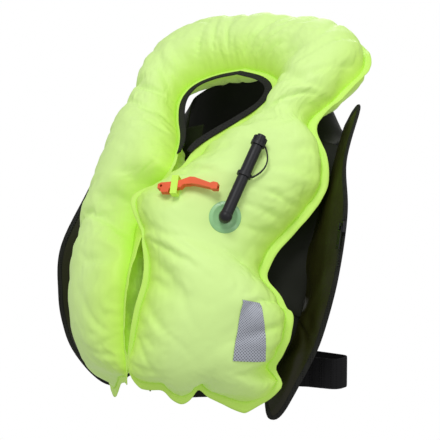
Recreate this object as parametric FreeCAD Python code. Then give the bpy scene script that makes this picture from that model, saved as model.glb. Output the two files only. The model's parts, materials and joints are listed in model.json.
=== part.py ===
import FreeCAD, Part
import math
import os

# Inflated gas life jacket with its cover burst open. Millimetres, +Z up.
# -Y is the wearer's front, +X the wearer's left.
# The origin is the centre of the neck opening, where the jacket rests on the wearer.

V = FreeCAD.Vector

# ---- driving dimensions ---------------------------------------------------------------------
# The bladder and the carrier follow one bent middle surface. A place on it is (across, along):
# across is the distance from the jacket's centre line, along is the distance up that line.
# Rows: along, then y and z of the centre line, then how far each half folds back, in degrees.
SPINE = [
    (0, -192, -350, 38),
    (75, -200, -275, 39),
    (150, -194, -202, 39),
    (220, -164, -140, 37),
    (300, -118, -76, 32),
    (360, -77, -34, 26),
    (485, 22, 52, 10),
    (620, 144, 106, 0),
]
FOLD_RADIUS = 15.0

# Stations up each half of the bladder, from the bottom weld to the nape.
# Rows: inner edge (across, along), outer edge (across, along), height of the front bulge.
# An inner edge below 0 laps over the other half, where the two lobes cross below the neck.
LEFT_STATIONS = [
    (25, 8, 165, -24, 4),
    (4, 34, 200, -8, 30),
    (12, 75, 216, 30, 48),
    (20, 115, 226, 85, 54),
    (28, 160, 228, 125, 55),
    (14, 200, 212, 190, 54),
    (-30, 238, 184, 222, 48),
    (-46, 262, 184, 255, 52),
    (-20, 294, 198, 300, 56),
    (12, 322, 210, 345, 56),
    (18, 362, 212, 378, 52),
    (36, 394, 200, 410, 50),
    (58, 424, 172, 446, 44),
    (78, 458, 186, 500, 50),
    (76, 486, 194, 560, 54),
    (54, 502, 150, 612, 58),
    (18, 507, 60, 632, 58),
]
RIGHT_STATIONS = [
    (25, 8, 165, -24, 4),
    (16, 34, 200, -8, 30),
    (18, 75, 216, 30, 48),
    (20, 115, 228, 85, 54),
    (24, 160, 230, 125, 55),
    (38, 200, 224, 188, 54),
    (62, 235, 208, 222, 50),
    (66, 262, 206, 255, 52),
    (50, 296, 208, 300, 54),
    (14, 326, 212, 345, 56),
    (26, 362, 214, 378, 56),
    (46, 392, 212, 410, 54),
    (74, 425, 198, 446, 48),
    (90, 458, 194, 500, 50),
    (84, 486, 194, 560, 54),
    (56, 502, 150, 612, 58),
    (18, 507, 60, 632, 58),
]
STATION_COUNT = len(LEFT_STATIONS)
BACK_SHARE = 0.6          # the wearer's side bulges this much less than the front
BULGE_POWER = 0.8         # below 1 makes the tube's section fuller than an ellipse
SECTION_POINTS = 9

NECK_START = 9.5          # place along the stations where the neck slit begins
SLIT_HALF = 0.6           # half the slit that is left between the binding's two ends
BINDING_GAP = 2.0
BINDING_WIDTH = 7.0
BINDING_THICK = 2.2

CARRIER_GAP = 5.0         # air between the bladder's back and the carrier
CARRIER_THICK = 2.0
# Rows: along, inner edge across, outer edge across on the wearer's left and on the right.
PANEL_ROWS = [
    (-16, 82, 190, 200),
    (25, 60, 222, 262),
    (85, 56, 240, 280),
    (150, 56, 243, 282),
    (250, 58, 234, 264),
    (335, 66, 214, 226),
    (400, 90, 202, 204),
    (452, 112, 196, 196),
]
# The neck yoke passes behind the neck. Rows on the wearer's left: upper edge, lower edge.
YOKE_ROWS = [
    ((108, 70, 8), (174, 84, -38)),
    ((114, 88, 18), (164, 116, -50)),
    ((88, 110, 36), (118, 142, -42)),
    ((40, 118, 43), (52, 154, -38)),
]

# Outer edges of the two opened cover flaps, one point for each panel row, bottom tip first.
LEFT_FLAP_EDGE = [
    (130, -52, -398), (160, -44, -340), (180, -38, -300), (195, -35, -260),
    (214, -33, -190), (218, -20, -110), (198, 8, -45), (187, 60, 16),
]
RIGHT_FLAP_EDGE = [
    (-160, -60, -388), (-218, -62, -340), (-238, -64, -300), (-242, -68, -255),
    (-242, -62, -190), (-222, -25, -110), (-205, 6, -45), (-187, 60, 16),
]
FLAP_GAP = 2.0
YOKE_GAP = 2.0
FLAP_THICK = 1.6
TAPE_WIDTH = 8.0
TAPE_THICK = 3.2
ZIPPER_PARK = 20.0
PULL_AXIS_HEIGHT = 6.5

# The waist belt lies drawn flat behind the panels. Plan of its run, buckle to buckle.
BELT_HEIGHT = 41.0
BELT_THICK = 2.0
BELT_Z = -330.0
BELT_END_X = 191.0
BELT_FRONT_Y = 6.0
BELT_BACK_Y = 36.0
BELT_BEND = 13.0
BUCKLE_Y = -58.0
BUCKLE_HALF = 38.0
LEAD_START = 104.0
BELT_ELBOW = (150.0, -3.0)

# Oral inflation tube, on the wearer's left chest.
TUBE_FOOT = (7.10, 0.63)          # place on the bladder's skin: station, share
TUBE_AXIS = (0.10, 0.52, 0.85)
TUBE_OUTER = 7.5
TUBE_BORE = 4.6
ELBOW_HEIGHT = 14.5
TUBE_START = 9.0
TUBE_LENGTH = 92.0
FLANGE_RADIUS = 22.5

# Whistle, lying across the seam of the two lobes: its two ends and the way it faces.
WHISTLE_START = (33.0, -164.1, -79.2)
WHISTLE_END = (99.4, -139.2, -76.6)
WHISTLE_FACE = (0.34, -0.80, 0.49)
WHISTLE_DEPTH = 9.0

# Reflective patch on the wearer's left lobe: station, then the shares of its two edges.
PATCH_LIFT = 2.5
PATCH_ROWS = [
    (4.10, 0.660, 0.785), (3.60, 0.660, 0.810), (3.10, 0.660, 0.835),
    (2.60, 0.660, 0.858), (2.10, 0.660, 0.880),
]

# Inflator set, in the pocket between the wearer's right lobe and its cover flap.
INFLATOR = (234.0, 230.0, 3.0)       # across, along and back of the middle surface
INFLATOR_SIZE = (26.0, 26.0, 50.0)
LEVER_AXIS = (17.4, 2.0)             # y and z of the lever's hinge, from the inflator's centre
GAS_RADIUS = 12.5
GAS_LENGTH = 84.0

OUT = "parts"
os.makedirs(OUT, exist_ok=True)


# ---- the middle surface ---------------------------------------------------------------------
def spine_value(along, column):
    """Smooth value of one SPINE column at a distance along the centre line."""
    rows = SPINE
    count = len(rows)
    index = 0
    while index < count - 2 and along > rows[index + 1][0]:
        index += 1

    def slope(i):
        low, high = max(i - 1, 0), min(i + 1, count - 1)
        return (rows[high][column] - rows[low][column]) / (rows[high][0] - rows[low][0])

    start, end = rows[index], rows[index + 1]
    span = end[0] - start[0]
    t = (along - start[0]) / span
    return (
        (2 * t ** 3 - 3 * t ** 2 + 1) * start[column]
        + (t ** 3 - 2 * t ** 2 + t) * span * slope(index)
        + (3 * t ** 2 - 2 * t ** 3) * end[column]
        + (t ** 3 - t ** 2) * span * slope(index + 1)
    )


def spine_frame(along):
    """Centre-line point, its backward normal and the fold angle."""
    point = V(0, spine_value(along, 1), spine_value(along, 2))
    step = V(
        0,
        spine_value(along + 1, 1) - spine_value(along - 1, 1),
        spine_value(along + 1, 2) - spine_value(along - 1, 2),
    ).normalize()
    normal = V(0, step.z, -step.y)
    return point, normal, math.radians(spine_value(along, 3))


def middle(side, across, along, back=0.0):
    """Point of one half of the middle surface, moved back from it by a distance."""
    point, normal, fold = spine_frame(along)
    reach = math.copysign(math.hypot(across, FOLD_RADIUS) - FOLD_RADIUS, across)
    sideways = V(side * math.cos(fold), 0, 0) + normal * math.sin(fold)
    out = V(-side * math.sin(fold), 0, 0) + normal * math.cos(fold)
    return point + sideways * reach + out * back


def station_at(place, side=1):
    """A station row between two of one half's stations, by a fractional index."""
    stations = LEFT_STATIONS if side > 0 else RIGHT_STATIONS
    index = min(int(place), STATION_COUNT - 2)
    t = place - index
    return [a + (b - a) * t for a, b in zip(stations[index], stations[index + 1])]


def section_frame(row, side):
    """Inner edge, outer edge and backward unit normal of a bladder section."""
    inner = middle(side, row[0], row[1])
    outer = middle(side, row[2], row[3])
    centre = ((row[0] + row[2]) / 2, (row[1] + row[3]) / 2)
    back = middle(side, *centre, 1.0) - middle(side, *centre)
    chord = (outer - inner).normalize()
    back = back - chord * back.dot(chord)
    return inner, outer, back.normalize()


def skin_point(place, share, side=1):
    """Point on the front skin: place along the stations, share from inner to outer edge."""
    row = station_at(place, side)
    inner, outer, back = section_frame(row, side)
    height = row[4] * math.sin(math.acos(1 - 2 * share)) ** BULGE_POWER
    return inner + (outer - inner) * share - back * height


def skin_axes(place, share, side=1):
    """Outward normal, and the direction up the lobe, at a point of the front skin."""
    step = 0.02
    here = skin_point(place, share, side)
    up = (skin_point(place + step, share, side) - here).normalize()
    sideways = skin_point(place, share + step, side) - here
    out = sideways.cross(up).normalize() * (1 if side > 0 else -1)
    return out, up


def both_halves(places):
    """Places up the left half, then down the right half, each with its side."""
    return [(place, 1) for place in places] + [(place, -1) for place in reversed(places)]


# ---- helpers --------------------------------------------------------------------------------
def save(name, shape):
    """Write one node as STEP, checking that it is one sound solid."""
    solid = shape.Solids[0] if len(shape.Solids) == 1 else shape
    if not solid.isValid() or not solid.Solids or solid.Volume <= 0:
        raise RuntimeError("bad solid: " + name)
    solid.exportStep(os.path.join(OUT, name + ".step"))
    print(name, len(solid.Solids), round(solid.Volume / 1000.0, 2), "cm3")


def closed_polyline(points):
    """Wire of straight edges through the points and back to the first."""
    return Part.makePolygon(list(points) + [points[0]])


def ruled(wires):
    """Solid with straight ruled sides from wire to wire."""
    return Part.makeLoft(wires, True, True)


def strip(rows, thickness):
    """Thin solid through rows of (one edge, other edge, unit direction of thickness)."""
    wires = []
    for a, b, out in rows:
        half = out * (thickness / 2)
        wires.append(closed_polyline([a - half, b - half, b + half, a + half]))
    return ruled(wires)


def placed(shape, origin, z_axis, x_hint):
    """Move a shape made at the origin so that its Z and, as near as may be, X take new directions."""
    z_axis = V(z_axis).normalize()
    x_axis = V(x_hint) - z_axis * V(x_hint).dot(z_axis)
    x_axis.normalize()
    y_axis = z_axis.cross(x_axis)
    matrix = FreeCAD.Matrix(
        x_axis.x, y_axis.x, z_axis.x, origin.x,
        x_axis.y, y_axis.y, z_axis.y, origin.y,
        x_axis.z, y_axis.z, z_axis.z, origin.z,
        0, 0, 0, 1,
    )
    moved = shape.copy()
    moved.Placement = FreeCAD.Placement(matrix).multiply(shape.Placement)
    return moved


def cylinder(radius, height, base=V(0, 0, 0), direction=V(0, 0, 1)):
    """Round bar from a base point along a direction."""
    return Part.makeCylinder(radius, height, base, direction)


def rounded_box(size, corner, radius):
    """Box from its lowest corner, with every edge rounded."""
    box = Part.makeBox(size[0], size[1], size[2], V(*corner))
    return box.makeFillet(radius, box.Edges)


def ribbon(points, radius, thickness, low, high):
    """Flat webbing standing on edge: a rounded path in plan, with a thickness, pulled up in Z."""
    left, right = [rounded_path(points, radius, offset) for offset in (-thickness / 2, thickness / 2)]
    start = Part.LineSegment(left[0].StartPoint, right[0].StartPoint)
    end = Part.LineSegment(left[-1].EndPoint, right[-1].EndPoint)
    edges = [piece.toShape() for piece in left] + [end.toShape()]
    edges += [piece.toShape() for piece in right] + [start.toShape()]
    wire = Part.Wire(Part.__sortEdges__(edges))
    face = Part.Face(wire)
    face.translate(V(0, 0, low))
    return face.extrude(V(0, 0, high - low))


def rounded_path(points, radius, offset):
    """Straight runs joined by tangent arcs, moved sideways by an offset, as curve pieces."""
    pieces = []
    points = [V(x, y, 0) for x, y in points]
    up = V(0, 0, 1)
    start = points[0] + up.cross((points[1] - points[0]).normalize()) * offset
    for before, corner, after in zip(points, points[1:], points[2:]):
        into = (corner - before).normalize()
        away = (after - corner).normalize()
        turn = math.atan2(into.cross(away).z, into.dot(away))
        cut = radius * math.tan(abs(turn) / 2)
        sign = 1 if turn > 0 else -1
        first = corner - into * cut + up.cross(into) * offset
        last = corner + away * cut + up.cross(away) * offset
        centre = corner - into * cut + up.cross(into) * (sign * radius)
        toward = (corner - centre).normalize()
        middle_point = centre + toward * (radius - sign * offset)
        pieces.append(Part.LineSegment(start, first))
        pieces.append(Part.Arc(first, middle_point, last))
        start = last
    end = points[-1] + up.cross((points[-1] - points[-2]).normalize()) * offset
    pieces.append(Part.LineSegment(start, end))
    return pieces


# ---- bladder, neck binding ------------------------------------------------------------------
def bladder():
    """The welded horseshoe: ruled between full lens-shaped sections, lobe to lobe."""
    wires = []
    for place, side in both_halves(range(STATION_COUNT)):
        row = station_at(place, side)
        inner, outer, back = section_frame(row, side)
        front_points, back_points = [], []
        for i in range(SECTION_POINTS + 1):
            angle = math.pi * i / SECTION_POINTS
            share = (1 - math.cos(angle)) / 2
            height = row[4] * math.sin(angle) ** BULGE_POWER if 0 < i < SECTION_POINTS else 0
            base = inner + (outer - inner) * share
            front_points.append(base - back * height)
            back_points.append(base + back * (height * BACK_SHARE))
        wires.append(closed_polyline(front_points + back_points[-2:0:-1]))
    return ruled(wires)


def neck_binding():
    """Black tape bound round the neck opening, just inside the bladder's inner weld."""
    places = [NECK_START] + list(range(int(NECK_START) + 1, STATION_COUNT))
    rows = []
    for place, side in both_halves(places):
        inner, outer, back = section_frame(station_at(place, side), side)
        away = (inner - outer).normalize()
        width = min(BINDING_WIDTH, abs(inner.x) - BINDING_GAP - SLIT_HALF)
        rows.append((inner + away * BINDING_GAP, inner + away * (BINDING_GAP + width), back))
    return strip(rows, BINDING_THICK)


# ---- carrier: back panels, yoke, opened cover flaps -----------------------------------------
def carrier_offset():
    """How far behind the middle surface the carrier lies, clear of the bladder's back."""
    return max(row[4] for row in LEFT_STATIONS) * BACK_SHARE + CARRIER_GAP


def surface_normal(side, across, along):
    """Backward unit normal of the middle surface."""
    return (middle(side, across, along, 1.0) - middle(side, across, along)).normalize()


def panel_rows(side):
    """Inner edge, outer edge and normal of a carrier panel at each of its rows."""
    rows = []
    for along, inner, outer_left, outer_right in PANEL_ROWS:
        outer = outer_left if side > 0 else outer_right
        ends = [middle(side, across, along, carrier_offset()) for across in (inner, outer)]
        rows.append((ends[0], ends[1], surface_normal(side, outer, along)))
    return rows


def carrier_panel(side):
    """Flat fabric panel behind one lobe."""
    return strip(panel_rows(side), CARRIER_THICK)


def facing_rows(rows):
    """Add to each row of (one edge, other edge) the unit normal of the surface they make."""
    full = []
    for i, (a, b) in enumerate(rows):
        low, high = rows[max(i - 1, 0)], rows[min(i + 1, len(rows) - 1)]
        run = (high[0] + high[1]) - (low[0] + low[1])
        full.append((a, b, run.cross(b - a).normalize()))
    return full


def neck_yoke():
    """Band behind the neck, sewn to the tops of both panels."""
    inner, outer, _ = panel_rows(1)[-1]
    below = panel_rows(1)[-2]
    step = ((inner + outer) - (below[0] + below[1])).normalize() * YOKE_GAP
    rows = [(inner + step, outer + step)] + [(V(*a), V(*b)) for a, b in YOKE_ROWS]
    rows += [(V(-a.x, a.y, a.z), V(-b.x, b.y, b.z)) for a, b in reversed(rows)]
    return strip(facing_rows(rows), CARRIER_THICK)


def flap_rows(side):
    """Seam point, outer point and normal of a flap at each of its rows."""
    edge = LEFT_FLAP_EDGE if side > 0 else RIGHT_FLAP_EDGE
    rows = []
    for (_, seam, _), outer in zip(panel_rows(side), edge):
        tip = V(*outer)
        rows.append((seam + (tip - seam).normalize() * FLAP_GAP, tip))
    return facing_rows(rows)


def cover_flap(side):
    """Opened cover flap, from the panel's outer edge to its own free edge."""
    return strip(flap_rows(side), FLAP_THICK)


def edge_tape(side):
    """Bound edge with the burst zipper's tape, just outside the flap's fabric."""
    rows = []
    for a, b, out in flap_rows(side):
        away = (b - a).normalize()
        rows.append((b + away * 0.4, b + away * (TAPE_WIDTH + 0.4), out))
    return strip(rows, TAPE_THICK)


# ---- burst zipper: teeth on the flap's edge tape, slider and pull ---------------------------
def zipper_frame(side):
    """Start, direction and facing of the zipper's straight stretch, on the tape's front."""
    rows = flap_rows(side)
    ends = []
    for a, b, out in (rows[5], rows[4]):
        away = (b - a).normalize()
        ends.append(b + away * (TAPE_WIDTH / 2 + 0.4))
    facing = rows[5][2] + rows[4][2]
    if facing.y > 0:
        facing = facing * -1
    along = (ends[1] - ends[0]).normalize()
    facing = (facing - along * facing.dot(along)).normalize()
    return ends[0], ends[1], along, facing


def zipper_chain(side):
    """Closed stretch of zipper teeth on the flap's edge tape."""
    start, end, along, facing = zipper_frame(side)
    lift = TAPE_THICK / 2 + 1.2
    width = along.cross(facing).normalize() * 1.5
    rows = []
    for point in (start + along * 6, end - along * 4):
        rows.append((point + facing * lift - width, point + facing * lift + width, facing))
    return strip(rows, 1.6)


def zipper_slider():
    """Slider straddling the teeth, with a bridge for its pull."""
    body = rounded_box((9, 14, 5.0), (-4.5, -7, 0.4), 0.9)
    groove = Part.makeBox(4.4, 16, 3.2, V(-2.2, -8, 0.0))
    bridge = Part.makeBox(2.4, 8, 1.4, V(-1.2, -4, 7.9))
    legs = [Part.makeBox(2.4, 1.4, 3.0, V(-1.2, y, 5.2)) for y in (-4, 2.6)]
    slider = body.cut(groove).fuse([bridge] + legs).removeSplitter()
    return on_zipper(slider)


def zipper_pull():
    """Flat pull tab whose bar hangs in the slider's bridge."""
    low = PULL_AXIS_HEIGHT - 0.5
    bar = cylinder(0.6, 7, V(-3.5, 0, PULL_AXIS_HEIGHT), V(1, 0, 0))
    arms = [Part.makeBox(1.3, 6.2, 1.0, V(x, 0, low)) for x in (-3.5, 2.2)]
    tab = rounded_box((7, 24, 1.2), (-3.5, 5.0, low - 0.1), 0.4)
    eye = cylinder(1.4, 4, V(0, 25, low - 1))
    return on_zipper(tab.fuse([bar] + arms).cut(eye).removeSplitter())


def on_zipper(shape):
    """Put a shape made along +Y, facing +Z, on the parked place of the left zipper."""
    start, _, along, facing = zipper_frame(1)
    origin = start + along * ZIPPER_PARK + facing * (TAPE_THICK / 2)
    return placed(shape, origin, facing, along.cross(facing))


# ---- waist belt ------------------------------------------------------------------------------
def belt_plan():
    """Plan of the belt from the buckle's left bar, round the back, to its right bar."""
    x, y = BELT_ELBOW
    return [
        (BUCKLE_HALF + 1, BUCKLE_Y), (BUCKLE_HALF + 14, BUCKLE_Y), (x, y),
        (BELT_END_X, BELT_FRONT_Y), (BELT_END_X, BELT_BACK_Y),
        (-BELT_END_X, BELT_BACK_Y), (-BELT_END_X, BELT_FRONT_Y), (-x, y),
        (-BUCKLE_HALF - 14, BUCKLE_Y), (-BUCKLE_HALF - 1, BUCKLE_Y),
    ]


def belt_split():
    """Point on the wearer's left front run where the lead of webbing begins."""
    (x0, y0), (x1, y1) = belt_plan()[1:3]
    return LEAD_START, y0 + (y1 - y0) * (LEAD_START - x0) / (x1 - x0)


def belt_webbing():
    """The long run: from just past the lead, round both ends, to the fixed buckle half."""
    plan = belt_plan()
    low = BELT_Z - BELT_HEIGHT / 2
    return ribbon([belt_split()] + plan[2:], BELT_BEND, BELT_THICK, low, low + BELT_HEIGHT)


def belt_lead():
    """The short run next to the sliding buckle half, which gives when the buckle opens."""
    plan = belt_plan()
    split = belt_split()
    toward = (V(plan[1][0], plan[1][1], 0) - V(split[0], split[1], 0)).normalize() * 0.4
    start = (split[0] + toward.x, split[1] + toward.y)
    low = BELT_Z - BELT_HEIGHT / 2
    return ribbon([plan[0], plan[1], start], BELT_BEND, BELT_THICK, low, low + BELT_HEIGHT)


def sleeve(length, clearance, wall):
    """Flat tube that webbing runs through, along X, open at both ends."""
    inner = (length + 2, BELT_THICK + 2 * clearance, BELT_HEIGHT + 2 * clearance)
    outer = (length, inner[1] + 2 * wall, inner[2] + 2 * wall)
    shell = Part.makeBox(*outer, V(-outer[0] / 2, -outer[1] / 2, -outer[2] / 2))
    return shell.cut(Part.makeBox(*inner, V(-inner[0] / 2, -inner[1] / 2, -inner[2] / 2)))


def belt_loop(side):
    """Webbing loop behind a panel that holds the belt."""
    (x0, y0), (x1, y1) = belt_plan()[1:3]
    share = 0.72
    centre = V(side * (x0 + (x1 - x0) * share), y0 + (y1 - y0) * share, BELT_Z)
    return placed(sleeve(24, 1.0, 1.5), centre, V(0, 0, 1), V(side * (x1 - x0), y1 - y0, 0))


def belt_adjuster():
    """Ladder-lock slide on the belt's back run."""
    frame = sleeve(26, 0.6, 2.0)
    grip = rounded_box((26, 2.4, 12), (-13, BELT_THICK / 2 + 2.2, -6), 1.0)
    adjuster = frame.fuse(grip).removeSplitter()
    adjuster.translate(V(-70, BELT_BACK_Y, BELT_Z))
    return adjuster


def buckle_female():
    """Socket half: a shell open to +X, with side windows and a webbing bar."""
    high, thick = BELT_HEIGHT + 10, 12.0
    shell = rounded_box((BUCKLE_HALF + 6, thick, high), (-BUCKLE_HALF, -thick / 2, -high / 2), 2.0)
    socket = Part.makeBox(34, thick - 4, high - 12, V(-27, -thick / 2 + 2, -high / 2 + 6))
    shell = shell.cut(socket)
    for z in (-high / 2 - 1, high / 2 - 7):
        shell = shell.cut(Part.makeBox(14, thick + 2, 8, V(-22, -thick / 2 - 1, z)))
    corner = V(-BUCKLE_HALF + 3, -thick / 2 - 1, -BELT_HEIGHT / 2 - 0.5)
    slot = Part.makeBox(3.4, thick + 2, BELT_HEIGHT + 1, corner)
    shell = shell.cut(slot)
    shell.translate(V(0, BUCKLE_Y, BELT_Z))
    return shell


def buckle_male():
    """Prong half: a webbing bar with a middle guide and two side prongs in the socket."""
    high, thick = BELT_HEIGHT + 10, 12.0
    base = rounded_box((BUCKLE_HALF - 7, thick, high), (7, -thick / 2, -high / 2), 2.0)
    for x in (BUCKLE_HALF - 6.4, BUCKLE_HALF - 14):
        corner = V(x, -thick / 2 - 1, -BELT_HEIGHT / 2 - 0.5)
        base = base.cut(Part.makeBox(3.4, thick + 2, BELT_HEIGHT + 1, corner))
    prongs = [Part.makeBox(30, 7.0, 9, V(-22, -3.5, z)) for z in (-high / 2 + 7, high / 2 - 16)]
    guide = Part.makeBox(26, 5.0, 7, V(-18, -2.5, -3.5))
    male = base.fuse(prongs + [guide]).removeSplitter()
    male.translate(V(0, BUCKLE_Y, BELT_Z))
    return male


# ---- oral inflation tube ---------------------------------------------------------------------
def tube_frame():
    """Foot on the skin, the skin's normal there, the elbow's centre and the tube's axis."""
    out, _ = skin_axes(*TUBE_FOOT)
    foot = skin_point(*TUBE_FOOT) + out * 1.4
    return foot, out, foot + out * ELBOW_HEIGHT, V(*TUBE_AXIS).normalize()


def oral_flange():
    """Round weld flange with a raised ring and a short spigot for the tube."""
    foot, out, _, axis = tube_frame()
    disc = cylinder(FLANGE_RADIUS, 1.2).fuse(cylinder(11.5, 2.4)).fuse(cylinder(4.6, 7.5))
    disc = disc.cut(cylinder(2.8, 12, V(0, 0, -1))).removeSplitter()
    return placed(disc, foot, out, axis)


def oral_tube():
    """Moulded rubber tube: a rounded elbow over the spigot, then a straight run."""
    foot, out, elbow, axis = tube_frame()
    leg = cylinder(8.6, ELBOW_HEIGHT - 2.7, foot + out * 2.7, out)
    bend = Part.makeSphere(8.6, elbow)
    run = cylinder(TUBE_OUTER, TUBE_START + TUBE_LENGTH, elbow, axis)
    tube = leg.fuse([bend, run])
    tube = tube.cut(cylinder(4.7, 6.5, foot + out * 2.0, out))
    tube = tube.cut(cylinder(2.8, ELBOW_HEIGHT, foot + out * 1.0, out))
    tube = tube.cut(cylinder(TUBE_BORE, TUBE_LENGTH + 20, elbow + axis * 2, axis))
    return tube.removeSplitter()


def tube_top():
    """Centre of the tube's open end."""
    _, _, elbow, axis = tube_frame()
    return elbow + axis * (TUBE_START + TUBE_LENGTH)


def valve_body():
    """Mouthpiece pushed into the tube's end; its lip takes the dust cap."""
    axis = tube_frame()[3]
    plug = cylinder(TUBE_BORE - 0.05, 16, V(0, 0, -16))
    lip = cylinder(6.2, 9, V(0, 0, 0.2))
    body = plug.fuse([cylinder(TUBE_BORE - 0.05, 1), lip]).removeSplitter()
    body = body.cut(cylinder(3.3, 15, V(0, 0, -4))).cut(cylinder(1.6, 30, V(0, 0, -18)))
    return placed(body, tube_top(), axis, V(1, 0, 0))


def valve_poppet():
    """Plunger that opens the valve when it is pressed into the mouthpiece."""
    axis = tube_frame()[3]
    head = cylinder(3.1, 1.8, V(0, 0, 6.6))
    stem = cylinder(1.2, 24, V(0, 0, -17))
    seal = cylinder(3.2, 1.8, V(0, 0, -18.2))
    return placed(head.fuse([stem, seal]).removeSplitter(), tube_top(), axis, V(1, 0, 0))


def valve_spring():
    """Return spring under the plunger's head, as flat coils joined by short posts."""
    axis = tube_frame()[3]
    inner, outer, coil = 2.05, 2.75, 0.7
    pitch, coils, low = 2.2, 5, -3.7
    spring = cylinder(outer, coil, V(0, 0, low)).cut(cylinder(inner, coil + 2, V(0, 0, low - 1)))
    for i in range(1, coils):
        level = low + pitch * i
        ring = cylinder(outer, coil, V(0, 0, level)).cut(cylinder(inner, coil + 2, V(0, 0, level - 1)))
        side = (-1) ** i * (inner + outer) / 2
        post = Part.makeBox(0.4, 1.2, pitch, V(side - 0.2, -0.6, level + coil / 2 - pitch))
        spring = spring.fuse([ring, post])
    return placed(spring.removeSplitter(), tube_top(), axis, V(1, 0, 0))


def dust_cap():
    """Ribbed cap over the mouthpiece, with a wider skirt and a stepped top."""
    axis = tube_frame()[3]
    skirt = cylinder(9.6, 4.5, V(0, 0, 0.6))
    crown = cylinder(8.2, 12, V(0, 0, 0.6))
    top = cylinder(5.6, 3, V(0, 0, 12.6))
    cap = skirt.fuse([crown, top])
    for i in range(10):
        rib = Part.makeBox(1.6, 1.6, 8.0, V(7.6, -0.8, 4.4))
        rib.rotate(V(0, 0, 0), V(0, 0, 1), 36 * i)
        cap = cap.fuse(rib)
    cap = cap.cut(cylinder(6.5, 9.6, V(0, 0, 0))).removeSplitter()
    return placed(cap, tube_top(), axis, V(1, 0, 0))


def strap_side():
    """Direction in which the cap's strap bows out from the tube: to the wearer's left."""
    axis = tube_frame()[3]
    side = V(0.80, 0.60, 0)
    return (side - axis * side.dot(axis)).normalize()


def tether_ring():
    """Ring of the moulded strap, round the tube above its middle."""
    axis = tube_frame()[3]
    ring = cylinder(TUBE_OUTER + 2.1, 5).cut(cylinder(TUBE_OUTER + 0.1, 7, V(0, 0, -1)))
    base = tube_frame()[2] + axis * (TUBE_START + TUBE_LENGTH * 0.52)
    return placed(ring, base, axis, strap_side())


def cap_tether():
    """The strap itself: a flat band bowed out from the ring to the cap."""
    axis = tube_frame()[3]
    side = strap_side()
    base = tube_frame()[2] + axis * (TUBE_START + TUBE_LENGTH * 0.52)
    top = tube_top()
    across = axis.cross(side) * 2.5
    low = base + axis * 2.5 + side * (TUBE_OUTER + 2.4)
    high = top + axis * 3.0 + side * 10.0
    bow = (low + high) * 0.5 + side * 10
    thick = side * 1.8
    curves = [Part.Arc(low + grow, bow + grow, high + grow) for grow in (V(0, 0, 0), thick)]
    curves += [Part.LineSegment(low, low + thick), Part.LineSegment(high, high + thick)]
    edges = [curve.toShape() for curve in curves]
    face = Part.Face(Part.Wire(Part.__sortEdges__(edges)))
    face.translate(across * -1)
    return face.extrude(across * 2)


# ---- whistle and keeper ----------------------------------------------------------------------
def whistle_axes():
    """The whistle's lower end, its long direction and the way its flat side faces."""
    start = V(*WHISTLE_START)
    run = (V(*WHISTLE_END) - start).normalize()
    face = V(*WHISTLE_FACE)
    face = (face - run * face.dot(run)).normalize()
    return start, run, face


def whistle():
    """Flat pea-less whistle: a cranked bar with a lanyard eye, two jaws and a mouthpiece."""
    start, run, face = whistle_axes()
    outline = [
        (-4, -3), (-4, 3), (0, 5), (12, 6), (26, 8.5), (38, 13), (44, 12.5), (66, 4.5), (70, 6),
        (76, 4.5), (76, -4), (69, -4), (66, -2), (50, 2), (42, 3.5), (30, 2.5), (27, -1.5), (16, -3),
        (12, -3), (11, -8), (1, -8), (0, -3),
    ]
    shape = Part.Face(closed_polyline([V(x, z, 0) for x, z in outline])).extrude(V(0, 0, WHISTLE_DEPTH))
    shape = shape.cut(cylinder(1.8, WHISTLE_DEPTH + 2, V(0.5, 0.6, -1)))
    shape = shape.cut(Part.makeBox(7, 30, 1.6, V(33, -10, WHISTLE_DEPTH - 4)))
    chamber = Part.makeBox(26, 4.6, WHISTLE_DEPTH - 3, V(0, 0, 1.5))
    chamber.rotate(V(0, 0, 0), V(0, 0, 1), -17)
    chamber.translate(V(51, 4.2, 0))
    shape = shape.cut(chamber).removeSplitter()
    return placed(shape, start, face, run)


def whistle_keeper():
    """Loose loop of bladder fabric round the whistle's straight part."""
    start, run, face = whistle_axes()
    outer = Part.makeBox(9, 25.0, WHISTLE_DEPTH + 2.2, V(14.0, -10.4, -1.1))
    inner = Part.makeBox(11, 23.0, WHISTLE_DEPTH + 0.8, V(13.0, -9.4, -0.4))
    return placed(outer.cut(inner), start, face, run)


# ---- reflective patch ------------------------------------------------------------------------
def reflective_patch():
    """Patch lying on the front skin of the wearer's left lobe."""
    rows = []
    for place, first, last in PATCH_ROWS:
        out, _ = skin_axes(place, (first + last) / 2)
        a, b = skin_point(place, first), skin_point(place, last)
        rows.append((a + out * PATCH_LIFT, b + out * PATCH_LIFT, out))
    return strip(rows, 0.8)


# ---- inflator set ----------------------------------------------------------------------------
def inflator_frame():
    """Centre of the inflator and its own X axis, pointing outward along the folded half."""
    across, along, back = INFLATOR
    centre = middle(-1, across, along, back)
    outward = middle(-1, across + 10, along) - middle(-1, across, along)
    return centre, V(outward.x, outward.y, 0).normalize()


def on_inflator(shape):
    """Put a shape made round the origin, standing up, on the inflator's place."""
    centre, outward = inflator_frame()
    return placed(shape, centre, V(0, 0, 1), outward)


def manifold():
    """Stem from the lobe's edge that the inflator is clamped on, with its small weld plate."""
    half = INFLATOR_SIZE[0] / 2
    plate = Part.makeBox(1.6, 12, 34, V(-half - 2.4, -9, -17))
    stem = cylinder(5.0, INFLATOR_SIZE[0] + 10, V(-half - 2.0, 0, 4), V(1, 0, 0))
    stem = stem.cut(cylinder(2.0, 32, V(-half + 4, 0, 4), V(1, 0, 0)))
    return on_inflator(plate.fuse(stem).removeSplitter())


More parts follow.
